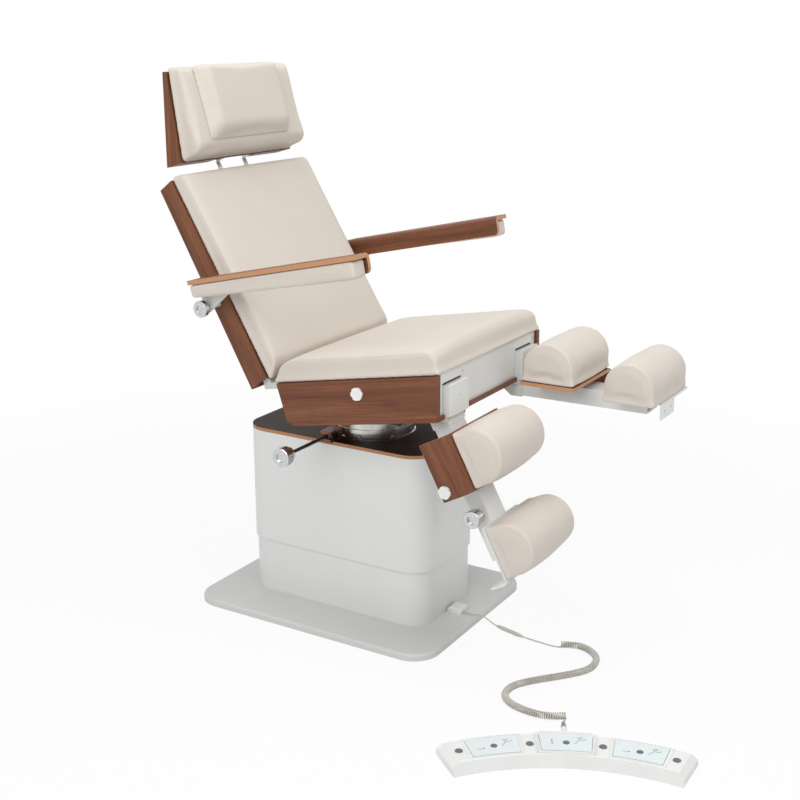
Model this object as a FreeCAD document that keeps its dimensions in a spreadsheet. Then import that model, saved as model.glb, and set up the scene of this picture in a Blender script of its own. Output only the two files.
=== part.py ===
"""Podiatry chair: lifting column, swivelling and tilting seat, reclining back, headrest, armrests,
two telescopic leg rests and a wired foot control. Millimetres, +Z up, origin on the floor at the
swivel axis, the patient looks along -Y and sits with the right side towards -X."""
import FreeCAD, Part

import math
import os

import Sketcher

os.makedirs("parts", exist_ok=True)

Vector = FreeCAD.Vector
Rotation = FreeCAD.Rotation
Placement = FreeCAD.Placement
X_AXIS = Vector(1, 0, 0)
Y_AXIS = Vector(0, 1, 0)
Z_AXIS = Vector(0, 0, 1)
ORIGIN = Vector(0, 0, 0)

doc = FreeCAD.newDocument("PodiatryChair")
sheet = doc.addObject("Spreadsheet::Sheet", "Sizes")
subparts = []


# Sizes: a named cell of the sheet, with arithmetic that keeps value and formula together
class Size:
    def __init__(self, value, formula):
        self.value = float(value)
        self.formula = formula

    def _with(self, other, sign, swapped=False):
        left, right = (other, self) if swapped else (self, other)
        number = {
            "+": number_of(left) + number_of(right) if sign == "+" else None,
            "-": number_of(left) - number_of(right) if sign == "-" else None,
            "*": number_of(left) * number_of(right) if sign == "*" else None,
            "/": number_of(left) / number_of(right) if sign == "/" else None,
        }[sign]
        return Size(number, "(%s %s %s)" % (formula_of(left), sign, formula_of(right)))

    def __add__(self, other):
        return self._with(other, "+")

    def __radd__(self, other):
        return self._with(other, "+", True)

    def __sub__(self, other):
        return self._with(other, "-")

    def __rsub__(self, other):
        return self._with(other, "-", True)

    def __mul__(self, other):
        return self._with(other, "*")

    def __rmul__(self, other):
        return self._with(other, "*", True)

    def __truediv__(self, other):
        return self._with(other, "/")

    def __neg__(self):
        return Size(-self.value, "(-1 * %s)" % self.formula)

    def __float__(self):
        return self.value


def number_of(size):
    return size.value if isinstance(size, Size) else float(size)


def formula_of(size):
    return size.formula if isinstance(size, Size) else repr(float(size))


def size(name, number):
    """Writes one driving size into the sheet and reads it back."""
    size.row += 1
    cell = "A%d" % size.row
    sheet.set(cell, str(number))
    sheet.setAlias(cell, name)
    sheet.recompute()
    return Size(sheet.get(name), "Sizes." + name)


size.row = 0


# Helpers for sub-parts
def bind(feature, prop, length):
    if isinstance(length, Size):
        feature.setExpression(prop, length.formula)
    else:
        setattr(feature, prop, length)


def new_body(name, kept=True):
    body = doc.addObject("PartDesign::Body", "Body_" + name)
    body.Label = name
    if kept:
        subparts.append(body)
    return body


def finish(name, feature):
    feature.Label = name
    subparts.append(feature)
    return feature


def solid_feature(name, shape):
    """A sub-part whose freely formed shape is set directly."""
    feature = doc.addObject("Part::Feature", "Form_" + name)
    feature.Shape = shape
    return finish(name, feature)


def sketch_on(body, role, height=0):
    sketch = body.newObject("Sketcher::SketchObject", "Sketch")
    plane = [item for item in body.Origin.OriginFeatures if item.Role == role][0]
    sketch.AttachmentSupport = [(plane, "")]
    sketch.MapMode = "FlatFace"
    bind_offset(sketch, height)
    return sketch


def bind_offset(sketch, height):
    sketch.AttachmentOffset = Placement(Vector(0, 0, number_of(height)), Rotation())
    if isinstance(height, Size):
        sketch.setExpression("AttachmentOffset.Base.z", height.formula)


def constrain(sketch, kind, item, point, length):
    index = sketch.addConstraint(Sketcher.Constraint(kind, -1, 1, item, point, number_of(length)))
    if isinstance(length, Size):
        sketch.setExpression("Constraints[%d]" % index, length.formula)


def polygon(sketch, points):
    """A closed outline whose corners are held at named distances from the sketch origin."""
    first = sketch.GeometryCount
    count = len(points)
    for index in range(count):
        start, end = points[index], points[(index + 1) % count]
        sketch.addGeometry(Part.LineSegment(
            Vector(number_of(start[0]), number_of(start[1]), 0),
            Vector(number_of(end[0]), number_of(end[1]), 0)), False)
    for index in range(count):
        following = first + (index + 1) % count
        sketch.addConstraint(Sketcher.Constraint("Coincident", first + index, 2, following, 1))
    for index in range(count):
        constrain(sketch, "DistanceX", first + index, 1, points[index][0])
        constrain(sketch, "DistanceY", first + index, 1, points[index][1])
    return sketch


def rectangle(sketch, x_low, x_high, y_low, y_high):
    return polygon(sketch, [(x_low, y_low), (x_high, y_low), (x_high, y_high), (x_low, y_high)])


def circle(sketch, x, y, radius):
    item = sketch.addGeometry(
        Part.Circle(Vector(number_of(x), number_of(y), 0), Z_AXIS, number_of(radius)), False)
    constrain(sketch, "DistanceX", item, 3, x)
    constrain(sketch, "DistanceY", item, 3, y)
    index = sketch.addConstraint(Sketcher.Constraint("Radius", item, number_of(radius)))
    if isinstance(radius, Size):
        sketch.setExpression("Constraints[%d]" % index, radius.formula)
    return sketch


def pad(body, sketch, length, side="One side", reversed_=False, taper=0):
    feature = body.newObject("PartDesign::Pad", "Pad")
    feature.Profile = sketch
    bind(feature, "Length", length)
    feature.SideType = side
    feature.Reversed = reversed_
    if isinstance(taper, Size) or taper:
        bind(feature, "TaperAngle", taper)
    doc.recompute()
    return feature


def pocket(body, sketch, length=None, side="One side", reversed_=False):
    """Cuts a sketch to a length, or right through both ways where none is given."""
    before = body.Tip.Shape.Volume
    feature = body.newObject("PartDesign::Pocket", "Pocket")
    feature.Profile = sketch
    feature.SideType = side if length is not None else "Symmetric"
    feature.Reversed = reversed_
    if length is None:
        feature.Type = 1
    else:
        bind(feature, "Length", length)
    doc.recompute()
    if feature.Shape.Volume >= before:
        raise RuntimeError("a pocket of %s cuts nothing" % body.Label)
    return feature


def revolve(body, sketch):
    feature = body.newObject("PartDesign::Revolution", "Revolution")
    feature.Profile = sketch
    feature.ReferenceAxis = (sketch, ["V_Axis"])
    feature.Angle = 360
    doc.recompute()
    return feature


def edge_names(shape, wanted):
    return ["Edge%d" % (index + 1) for index, edge in enumerate(shape.Edges) if wanted(edge)]


def along(axis):
    """Chooses the straight edges that run along an axis."""
    def wanted(edge):
        if edge.Curve.TypeId != "Part::GeomLine":
            return False
        direction = edge.Vertexes[-1].Point - edge.Vertexes[0].Point
        return abs(abs(direction.dot(axis)) - edge.Length) < edge.Length * 1e-6
    return wanted


def lying_at(axis, place):
    """Chooses the edges that lie in the plane at a place along an axis."""
    def wanted(edge):
        box = edge.BoundBox
        low = Vector(box.XMin, box.YMin, box.ZMin).dot(axis)
        high = Vector(box.XMax, box.YMax, box.ZMax).dot(axis)
        return abs(low - number_of(place)) < 1e-4 and abs(high - number_of(place)) < 1e-4
    return wanted


def both(first, second):
    return lambda edge: first(edge) and second(edge)


def dress(body, kind, wanted, length):
    base = body.Tip
    names = edge_names(base.Shape, wanted)
    feature = body.newObject("PartDesign::" + kind, kind)
    feature.Base = (base, names)
    bind(feature, "Radius" if kind == "Fillet" else "Size", length)
    doc.recompute()
    return feature


def fillet(body, wanted, radius):
    return dress(body, "Fillet", wanted, radius)


def chamfer(body, wanted, length):
    return dress(body, "Chamfer", wanted, length)


def place(feature, x=0, y=0, z=0):
    feature.Placement = Placement(Vector(number_of(x), number_of(y), number_of(z)),
                                  feature.Placement.Rotation)
    for letter, length in (("x", x), ("y", y), ("z", z)):
        if isinstance(length, Size):
            feature.setExpression("Placement.Base." + letter, length.formula)
    return feature


def block(length_x, length_y, length_z, x=0, y=0, z=0):
    """A box from its low corner."""
    feature = doc.addObject("Part::Box", "Block")
    bind(feature, "Length", length_x)
    bind(feature, "Width", length_y)
    bind(feature, "Height", length_z)
    return place(feature, x, y, z)


def rod(radius, height, x=0, y=0, z=0, axis=Z_AXIS):
    """A cylinder from the centre of its low end, along an axis."""
    feature = doc.addObject("Part::Cylinder", "Rod")
    bind(feature, "Radius", radius)
    bind(feature, "Height", height)
    feature.Placement = Placement(ORIGIN, Rotation(Z_AXIS, axis))
    return place(feature, x, y, z)


def fused(*features):
    feature = doc.addObject("Part::MultiFuse", "Union")
    feature.Shapes = list(features)
    feature.Refine = True
    doc.recompute()
    return feature


def cut(base, *tools):
    for tool in tools:
        feature = doc.addObject("Part::Cut", "Cut")
        feature.Base = base
        feature.Tool = tool
        feature.Refine = True
        doc.recompute()
        base = feature
    return base


def joined(*features):
    """Several separate solids kept in one sub-part."""
    feature = doc.addObject("Part::Compound", "Group")
    feature.Links = list(features)
    doc.recompute()
    return feature


def rounded_outline(corners, to_space):
    """A closed wire of lines and tangent arcs through corners of (x, y, radius)."""
    count = len(corners)
    stops = []
    for index in range(count):
        before, here, after = corners[index - 1], corners[index], corners[(index + 1) % count]
        corner = Vector(here[0], here[1], 0)
        back = (Vector(before[0], before[1], 0) - corner).normalize()
        ahead = (Vector(after[0], after[1], 0) - corner).normalize()
        half = back.getAngle(ahead) / 2
        reach = here[2] / math.tan(half)
        middle = corner + (back + ahead).normalize() * (here[2] / math.sin(half) - here[2])
        stops.append((corner + back * reach, middle, corner + ahead * reach))
    edges = []
    for index in range(count):
        start, middle, end = stops[index]
        edges.append(Part.Arc(to_space(start), to_space(middle), to_space(end)).toShape())
        following = stops[(index + 1) % count][0]
        edges.append(Part.LineSegment(to_space(end), to_space(following)).toShape())
    return Part.Wire(edges)


def across(x):
    """Places outline points (y, z) in the plane at x."""
    return lambda point: Vector(x, point.x, point.y)


def in_front(y):
    """Places outline points (x, z) in the plane at y."""
    return lambda point: Vector(point.x, y, point.y)


def upholstered(ends, middle, half_width, roll, centre=0.0):
    """A cushion: a side outline carried across through a fuller middle, its rims rolled over."""
    sections = [rounded_outline(ends, across(centre - half_width)),
                rounded_outline(middle, across(centre)),
                rounded_outline(ends, across(centre + half_width))]
    solid = Part.makeLoft(sections, True, False)
    flat_ends = [face for face in solid.Faces if face.BoundBox.XLength < roll / 10]
    rims = [edge for face in flat_ends for edge in face.Edges]
    return solid.makeFillet(roll, rims)


def turned(x, y, z, degrees):
    """A frame at a point, turned about the sideways axis."""
    return Placement(Vector(number_of(x), number_of(y), number_of(z)), Rotation(X_AXIS, degrees))


def seat_on(feature, frame):
    """Carries a finished sub-part from its own frame to its place."""
    feature.Placement = frame.multiply(feature.Placement)


# Column and base
plate_length = size("plate_length", 795)
plate_width = size("plate_width", 622)
plate_thickness = size("plate_thickness", 20)
plate_corner = size("plate_corner", 79)
plate_edge = size("plate_edge", 8)
plate_shift = size("plate_shift", 47)
column_shift = size("column_shift", 44)
shell_length = size("shell_length", 610)
shell_width = size("shell_width", 333)
shell_corner = size("shell_corner", 74)
shell_wall = size("shell_wall", 3)
shell_clearance = size("shell_clearance", 2.5)
upper_shell_low = size("upper_shell_low", 182)
column_top = size("column_top", 528)
top_panel_thickness = size("top_panel_thickness", 10)
lower_shell_top = size("lower_shell_top", 345)
seating_gap = size("seating_gap", 0.3)
guide_width = size("guide_width", 150)
guide_wall = size("guide_wall", 8)
guide_top = size("guide_top", 355)
guide_foot_width = size("guide_foot_width", 220)
guide_foot_thickness = size("guide_foot_thickness", 12)
mast_clearance = size("mast_clearance", 0.8)
mast_wall = size("mast_wall", 6)
mast_low = size("mast_low", 175)
mast_head_length = size("mast_head_length", 300)
mast_head_width = size("mast_head_width", 240)
mast_head_thickness = size("mast_head_thickness", 10)
gland_width = size("gland_width", 50)
gland_length = size("gland_length", 44)
gland_height = size("gland_height", 15)
gland_round = size("gland_round", 6)
gland_x = size("gland_x", 2)

column_low_y = column_shift - shell_length / 2
column_high_y = column_shift + shell_length / 2
panel_low = column_top - top_panel_thickness


def make_base_plate():
    """The floor plate with the square guide tube welded on it."""
    body = new_body("Plate", False)
    outline = rectangle(sketch_on(body, "XY_Plane"), -plate_width / 2, plate_width / 2,
                        plate_shift - plate_length / 2, plate_shift + plate_length / 2)
    pad(body, outline, plate_thickness)
    fillet(body, along(Z_AXIS), plate_corner)
    fillet(body, lying_at(Z_AXIS, plate_thickness), plate_edge)
    tube = square_tube(guide_width, guide_wall, plate_thickness, guide_top)
    foot = square_tube(guide_foot_width, (guide_foot_width - guide_width) / 2, plate_thickness,
                       plate_thickness + guide_foot_thickness)
    finish("base_plate", fused(body, tube, foot))


def rounded_block(length, width, corner, low, high):
    body = new_body("Rounded", False)
    outline = rectangle(sketch_on(body, "XY_Plane", low), -width / 2, width / 2,
                        column_shift - length / 2, column_shift + length / 2)
    pad(body, outline, high - low)
    fillet(body, along(Z_AXIS), corner)
    return body


def make_cover(name, length, width, corner, low, high):
    """A column cover: an open tube with rounded corners."""
    room = rounded_block(length - shell_wall * 2, width - shell_wall * 2, corner - shell_wall,
                         low, high)
    finish(name, cut(rounded_block(length, width, corner, low, high), room))


def make_column_covers():
    make_cover("upper_shell", shell_length, shell_width, shell_corner, upper_shell_low, panel_low)
    inset = (shell_wall + shell_clearance) * 2
    make_cover("lower_shell", shell_length - inset, shell_width - inset,
               shell_corner - inset / 2, plate_thickness, lower_shell_top)


def make_top_panel():
    body = new_body("column_top_panel")
    outline = rectangle(sketch_on(body, "XY_Plane", panel_low), -shell_width / 2, shell_width / 2,
                        column_low_y, column_high_y)
    pad(body, outline, top_panel_thickness)
    fillet(body, along(Z_AXIS), shell_corner)


def square_tube(width, wall, low, high):
    outer = block(width, width, high - low, -width / 2, -width / 2, low)
    inner_width = width - wall * 2
    inner = block(inner_width, inner_width, high - low, -inner_width / 2, -inner_width / 2, low)
    return cut(outer, inner)


def make_lift_mast():
    mast_width = guide_width - guide_wall * 2 - mast_clearance * 2
    tube = square_tube(mast_width, mast_wall, mast_low, panel_low)
    head = block(mast_head_width, mast_head_length, mast_head_thickness, -mast_head_width / 2,
                 -mast_head_length / 2, panel_low - mast_head_thickness)
    finish("lift_mast", fused(tube, head))


def make_gland_cover():
    body = new_body("gland_cover")
    outline = rectangle(sketch_on(body, "XY_Plane", plate_thickness),
                        gland_x - gland_width / 2, gland_x + gland_width / 2,
                        column_low_y - gland_length, column_low_y - seating_gap)
    pad(body, outline, gland_height)
    fillet(body, both(along(Z_AXIS), lying_at(Y_AXIS, column_low_y - gland_length)), gland_round)
    fillet(body, lying_at(Z_AXIS, plate_thickness + gland_height), gland_round)


# Turntable, brake and tilt bracket
ring_radius = size("ring_radius", 118)
ring_height = size("ring_height", 20)
disc_radius = size("disc_radius", 125)
disc_height = size("disc_height", 32)
disc_round = size("disc_round", 4)
disc_groove_depth = size("disc_groove_depth", 3)
disc_groove_height = size("disc_groove_height", 4)
spindle_radius = size("spindle_radius", 40)
running_gap = size("running_gap", 0.4)
spindle_clearance = size("spindle_clearance", 0.08)
brake_y = size("brake_y", 45)
brake_height = size("brake_height", 17)
brake_block_length = size("brake_block_length", 62)
brake_block_width = size("brake_block_width", 34)
brake_rod_radius = size("brake_rod_radius", 5)
brake_rod_reach = size("brake_rod_reach", 345)
brake_pin_radius = size("brake_pin_radius", 7)
brake_slot_height = size("brake_slot_height", 15)
brake_knob_radius = size("brake_knob_radius", 27)
brake_knob_length = size("brake_knob_length", 52)
bracket_width = size("bracket_width", 180)
bracket_length = size("bracket_length", 200)
bracket_forward = size("bracket_forward", 140)
bracket_thickness = size("bracket_thickness", 8)
tilt_y = size("tilt_y", -100)
tilt_z = size("tilt_z", 612)
cheek_radius = size("cheek_radius", 17)
cheek_thickness = size("cheek_thickness", 10)
cheek_inner = size("cheek_inner", 56)
tilt_pin_radius = size("tilt_pin_radius", 8)
lug_thickness = size("lug_thickness", 10)
lug_gap = size("lug_gap", 1)

ring_top = column_top + ring_height
disc_low = ring_top + running_gap
disc_top = disc_low + disc_height
bracket_top = disc_top + bracket_thickness


def make_turntable_ring():
    body = new_body("turntable_ring")
    bore = spindle_radius + spindle_clearance
    lip = disc_groove_depth
    outline = polygon(sketch_on(body, "XZ_Plane"), [
        (bore, column_top), (ring_radius + lip, column_top), (ring_radius + lip, column_top + lip),
        (ring_radius, column_top + lip * 2), (ring_radius, ring_top), (bore, ring_top)])
    revolve(body, outline)


def make_turntable_disc():
    body = new_body("turntable_disc")
    groove_low = disc_low + disc_height / 3
    groove_high = groove_low + disc_groove_height
    waist = disc_radius - disc_groove_depth
    outline = polygon(sketch_on(body, "XZ_Plane"), [
        (0, column_top + running_gap), (spindle_radius, column_top + running_gap),
        (spindle_radius, disc_low), (disc_radius, disc_low), (disc_radius, groove_low),
        (waist, groove_low), (waist, groove_high), (disc_radius, groove_high),
        (disc_radius, disc_top), (0, disc_top)])
    revolve(body, outline)
    fillet(body, both(lying_at(Z_AXIS, disc_top), lambda edge: edge.Length > disc_radius.value * 6),
           disc_round)


def make_brake_bracket():
    middle = column_top + brake_height
    low_x = -(ring_radius + disc_groove_depth) - seating_gap - brake_block_length
    casting = block(brake_block_length, brake_block_width, brake_height + brake_slot_height,
                    low_x, brake_y - brake_block_width / 2, column_top)
    curve = rod(disc_radius + running_gap * 2, disc_height * 2, 0, 0, column_top)
    slot = block(brake_block_length, brake_block_width, brake_slot_height,
                 low_x - brake_block_length / 3, brake_y - brake_block_width / 2,
                 middle - brake_slot_height / 2)
    pin_x = low_x + brake_block_length / 3
    pin = rod(brake_pin_radius, brake_slot_height, pin_x, brake_y, middle - brake_slot_height / 2)
    finish("brake_bracket", fused(cut(casting, curve, slot), pin))
    return pin_x


def make_brake_lever(pin_x):
    middle = column_top + brake_height
    eye = rod(brake_pin_radius * 2, brake_slot_height - running_gap * 2, pin_x, brake_y,
              middle - brake_slot_height / 2 + running_gap)
    arm = rod(brake_rod_radius, brake_rod_reach + pin_x, pin_x, brake_y, middle, -X_AXIS)
    hole = rod(brake_pin_radius + spindle_clearance, brake_slot_height, pin_x, brake_y,
               middle - brake_slot_height / 2)
    finish("brake_rod", cut(fused(eye, arm), hole))
    make_clamp_knob("brake_knob", brake_knob_radius, brake_knob_length, brake_rod_radius)
    subparts[-1].Placement = Placement(
        Vector(-brake_rod_reach.value, brake_y.value, middle.value), Rotation(Z_AXIS, -X_AXIS))


def make_clamp_knob(name, radius, length, stem_radius):
    """A turned knob in two steps with a recessed face; its stem starts at the frame's origin."""
    body = new_body(name)
    collar = radius * 3 / 4
    outline = polygon(sketch_on(body, "XZ_Plane"), [
        (0, 0), (stem_radius * 2, 0), (stem_radius * 2, length / 5), (collar, length / 5),
        (collar, length / 2), (radius, length / 2), (radius, length), (radius / 2, length),
        (radius / 2, length * 9 / 10), (0, length * 9 / 10)])
    revolve(body, outline)
    rim = both(lying_at(Z_AXIS, length), lambda edge: edge.Length > radius.value * 6)
    fillet(body, rim, radius / 9)


def make_tilt_bracket():
    plate = block(bracket_width, bracket_length, bracket_thickness, -bracket_width / 2,
                  -bracket_forward, disc_top)
    solids = [plate]
    for side in (-1, 1):
        x = cheek_inner if side > 0 else -cheek_inner - cheek_thickness
        stem = block(cheek_thickness, cheek_radius * 2, tilt_z - bracket_top, x,
                     tilt_y - cheek_radius, bracket_top)
        eye = rod(cheek_radius, cheek_thickness, x, tilt_y, tilt_z, X_AXIS)
        solids += [stem, eye]
    half_pin = cheek_inner + cheek_thickness
    solids.append(rod(tilt_pin_radius, half_pin * 2, -half_pin, tilt_y, tilt_z, X_AXIS))
    finish("tilt_bracket", fused(*solids))


# Seat box, in a frame at the tilt pin that leans back with the seat
seat_tilt = size("seat_tilt", 10.3)
seat_width = size("seat_width", 600)
board_thickness = size("board_thickness", 18)
box_low = size("box_low", 33.5)
box_high = size("box_high", 141.5)
box_front_top = size("box_front_top", -306)
box_front_low = size("box_front_low", -287)
box_rear_top = size("box_rear_top", 201)
box_rear_low = size("box_rear_low", 186)
bottom_thickness = size("bottom_thickness", 12)
front_recess = size("front_recess", 8)
front_sheet = size("front_sheet", 3)
slot_top = size("slot_top", 114)
slot_depth = size("slot_depth", 85)
frame_front = size("frame_front", -195)
frame_wall = size("frame_wall", 8)
beam_inner = size("beam_inner", 45)
leg_pin_y = size("leg_pin_y", -277)
leg_pin_z = size("leg_pin_z", 21.6)
leg_pin_radius = size("leg_pin_radius", 9)
leg_ear_radius = size("leg_ear_radius", 15)
leg_ear_thickness = size("leg_ear_thickness", 5)
leg_inset = size("leg_inset", 135)
sleeve_width = size("sleeve_width", 86)
slot_clearance = size("slot_clearance", 1)
arm_sleeve_inner = seat_width / 2 - leg_inset
arm_sleeve_outer = arm_sleeve_inner + sleeve_width
slot_inner = arm_sleeve_inner - seating_gap * 2 - leg_ear_thickness - slot_clearance
slot_outer = arm_sleeve_outer + seating_gap * 2 + leg_ear_thickness + slot_clearance
cap_radius = size("cap_radius", 17.5)
cap_height = size("cap_height", 6)
cap_y = size("cap_y", -58)
cap_z = size("cap_z", 105)
cushion_front = size("cushion_front", -316)
cushion_rear = size("cushion_rear", 228)
cushion_rear_step = size("cushion_rear_step", 15)
cushion_rear_slope = size("cushion_rear_slope", 88)
cushion_seam = size("cushion_seam", 203)
cushion_crown = size("cushion_crown", 15)
cushion_draw = size("cushion_draw", 4)
cushion_roll = size("cushion_roll", 4)
cushion_front_round = size("cushion_front_round", 32)
cushion_rear_round = size("cushion_rear_round", 45)
cushion_foot_round = size("cushion_foot_round", 9)
cushion_lift = size("cushion_lift", 0.3)
hinge_pin_radius = size("hinge_pin_radius", 7)
hinge_ear_radius = size("hinge_ear_radius", 12)
hinge_ear_thickness = size("hinge_ear_thickness", 8)
hinge_ear_inset = size("hinge_ear_inset", 50)
hinge_ear_x = seat_width / 2 - hinge_ear_inset
hinge_y = size("hinge_y", 244.8)
hinge_z = size("hinge_z", 142.8)
hinge_arm_drop = size("hinge_arm_drop", 18)

seat_frame_place = turned(0, tilt_y, tilt_z, -seat_tilt.value)
inner_half = seat_width / 2 - board_thickness
front_share = (box_front_top - box_front_low) / (box_high - box_low)


def front_at(z):
    """The raked front edge of the side boards at a height."""
    return box_front_low + (z - box_low) * front_share


def make_side_board(name, side):
    body = new_body(name)
    middle = inner_half + board_thickness / 2
    outline = polygon(sketch_on(body, "YZ_Plane", middle * side), [
        (box_front_low, box_low), (box_rear_low, box_low), (box_rear_top, box_high),
        (box_front_top, box_high)])
    pad(body, outline, board_thickness, "Symmetric")
    seat_on(body, seat_frame_place)


def make_bottom_panel():
    body = new_body("seat_bottom_panel")
    low = box_low - bottom_thickness
    outline = polygon(sketch_on(body, "YZ_Plane"), [
        (box_front_low + front_recess / 4, low), (box_rear_low - board_thickness, low),
        (box_rear_low - front_recess / 4, box_low), (box_front_low, box_low)])
    pad(body, outline, seat_width - front_recess, "Symmetric")
    slots = sketch_on(body, "XY_Plane", low)
    for side in (-1, 1):
        near, far = (slot_inner, slot_outer) if side > 0 else (-slot_outer, -slot_inner)
        rectangle(slots, near, far, box_front_low - front_recess, box_front_low + slot_depth)
        lug_near = cheek_inner - lug_gap * 3 - lug_thickness
        lug_far = cheek_inner - lug_gap / 2
        low_x, high_x = (lug_near, lug_far) if side > 0 else (-lug_far, -lug_near)
        reach = cheek_radius + lug_gap * 4
        rectangle(slots, low_x, high_x, -reach, reach)
    pocket(body, slots, bottom_thickness, "One side", True)
    seat_on(body, seat_frame_place)


def make_front_panel():
    body = new_body("seat_front_panel")
    back = front_recess + front_sheet
    outline = polygon(sketch_on(body, "YZ_Plane"), [
        (front_at(box_low) + front_recess, box_low), (front_at(box_low) + back, box_low),
        (front_at(box_high) + back, box_high), (front_at(box_high) + front_recess, box_high)])
    pad(body, outline, (inner_half - seating_gap) * 2, "Symmetric")
    slots = sketch_on(body, "XZ_Plane")
    for side in (-1, 1):
        near, far = (slot_inner, slot_outer) if side > 0 else (-slot_outer, -slot_inner)
        rectangle(slots, near, far, box_low - front_recess, slot_top)
    pocket(body, slots)
    seat_on(body, seat_frame_place)


def make_seat_frame():
    """A sheet-metal tub with two inner beams, lugs on the tilt pin and ears for the leg pins."""
    length = box_rear_low - frame_wall - frame_front
    tub = block(inner_half * 2, length, box_high - box_low, -inner_half, frame_front, box_low)
    side_room = inner_half - frame_wall - beam_inner - lug_thickness
    inner_length = length - frame_wall * 2
    inner_y = frame_front + frame_wall
    height = box_high - box_low
    middle = block(beam_inner * 2, inner_length, height, -beam_inner, inner_y, box_low)
    right = block(side_room, inner_length, height, beam_inner + lug_thickness, inner_y, box_low)
    left = block(side_room, inner_length, height, -inner_half + frame_wall, inner_y, box_low)
    solids = [cut(tub, middle, right, left)]
    bores = []
    for side in (-1, 1):
        x = beam_inner if side > 0 else -beam_inner - lug_thickness
        neck = block(lug_thickness, cheek_radius * 2, box_low + frame_wall, x, -cheek_radius, 0)
        eye = rod(cheek_radius, lug_thickness, x, 0, 0, X_AXIS)
        solids += [neck, eye]
        bores.append(rod(tilt_pin_radius + spindle_clearance, lug_thickness, x, 0, 0, X_AXIS))
        for edge in (arm_sleeve_inner - seating_gap * 2 - leg_ear_thickness,
                     arm_sleeve_outer + seating_gap * 2):
            ear_x = edge if side > 0 else -edge - leg_ear_thickness
            solids.append(make_leg_ear(ear_x))
            bores.append(rod(leg_pin_radius + spindle_clearance, leg_ear_thickness, ear_x,
                             leg_pin_y, leg_pin_z, X_AXIS))
    solids += [make_hinge_arm(side) for side in (-1, 1)]
    frame = finish("seat_frame", cut(fused(*solids), *bores))
    seat_on(frame, seat_frame_place)


def make_hinge_arm(side):
    """An arm behind the tub with the stub pin that a backrest ear turns on."""
    inner = hinge_ear_x + hinge_ear_thickness + seating_gap
    reach = inner_half - inner
    x = inner if side > 0 else -inner - reach
    start = box_rear_low - frame_wall * 2
    arm = block(reach, hinge_y + hinge_ear_radius - start, hinge_arm_drop, x, start,
                box_high - hinge_arm_drop)
    eye = rod(hinge_ear_radius, reach, x, hinge_y, hinge_z, X_AXIS)
    pin_x = hinge_ear_x if side > 0 else -inner
    pin = rod(hinge_pin_radius, hinge_ear_thickness + seating_gap, pin_x, hinge_y, hinge_z, X_AXIS)
    return fused(arm, eye, pin)


def make_leg_ear(x):
    """A plate from the tub's front wall to the leg pin, round at the pin."""
    web = block(leg_ear_thickness, frame_front - leg_pin_y + frame_wall, leg_ear_radius * 2, x,
                leg_pin_y, box_low)
    drop = block(leg_ear_thickness, leg_ear_radius * 2, box_low - leg_pin_z + leg_ear_radius, x,
                 leg_pin_y - leg_ear_radius, leg_pin_z)
    eye = rod(leg_ear_radius, leg_ear_thickness, x, leg_pin_y, leg_pin_z, X_AXIS)
    return fused(web, drop, eye)


def make_screw_caps():
    """The fluted covers over the seat's side bolts."""
    caps = []
    for side in (-1, 1):
        cap = fluted_cap()
        cap.Placement = Placement(Vector(side * seat_width.value / 2, cap_y.value, cap_z.value),
                                  Rotation(Z_AXIS, X_AXIS * side))
        caps.append(cap)
    seat_on(finish("seat_screw_caps", joined(*caps)), seat_frame_place)


def fluted_cap():
    """A round cover with six shallow finger flutes."""
    cap = rod(cap_radius, cap_height)
    flutes = []
    for index in range(6):
        angle = math.radians(60 * index)
        flute = rod(cap_radius / 5, cap_height, cap_radius * 1.08 * math.cos(angle),
                    cap_radius * 1.08 * math.sin(angle), 0)
        flutes.append(flute)
    return cut(cap, *flutes)


def make_seat_cushion():
    front, rear, draw = cushion_front.value, cushion_rear.value, cushion_draw.value
    low, top = (box_high + cushion_lift).value, cushion_seam.value
    foot, crown = cushion_foot_round.value, cushion_crown.value
    step, rear_top = low + cushion_rear_step.value, rear - cushion_rear_slope.value
    front_round, rear_round = cushion_front_round.value, cushion_rear_round.value
    ends = [(front + draw, low, foot), (rear - draw, low, foot / 2), (rear - draw, step, foot / 2),
            (rear_top - draw, top, rear_round), (front + draw, top, front_round)]
    middle = [(front, low, foot), (rear, low, foot / 2), (rear, step, foot / 2),
              (rear_top, top + crown, rear_round), (front, top + crown, front_round)]
    cushion = solid_feature("seat_cushion", upholstered(
        ends, middle, (seat_width / 2 - seating_gap).value, cushion_roll.value))
    seat_on(cushion, seat_frame_place)


# Backrest, in a frame at the recline hinge with its own upright along z
back_lean = size("back_lean", 29.2)
back_width = seat_width
back_length = size("back_length", 600)
hinge_inset = size("hinge_inset", 13)
back_depth_low = size("back_depth_low", 65)
back_depth_high = size("back_depth_high", 49)
back_rear = size("back_rear", 59)
back_foot_rise = size("back_foot_rise", 14)
back_head_rise = size("back_head_rise", 7)
back_ply = size("back_ply", 12)
back_cushion_low = size("back_cushion_low", 24)
back_cushion_high = size("back_cushion_high", 620)
back_cushion_thin = size("back_cushion_thin", 30)
back_cushion_thick = size("back_cushion_thick", 54)
back_cushion_crown = size("back_cushion_crown", 12)
back_cushion_draw = size("back_cushion_draw", 5)
back_cushion_roll = size("back_cushion_roll", 6)
back_cushion_round = size("back_cushion_round", 9)
back_cushion_top_round = size("back_cushion_top_round", 22)
rail_width = size("rail_width", 30)
rail_depth = size("rail_depth", 20)
rail_inset = size("rail_inset", 85)
rail_x = back_width / 2 - rail_inset
post_x = size("post_x", 60)
post_radius = size("post_radius", 6)
post_y = size("post_y", 22)
socket_radius = size("socket_radius", 12)
socket_length = size("socket_length", 150)
arm_pivot_rise = size("arm_pivot_rise", 250)
arm_pivot_back = size("arm_pivot_back", 38)
arm_shaft_radius = size("arm_shaft_radius", 7)
arm_shaft_stand = size("arm_shaft_stand", 55)
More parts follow.
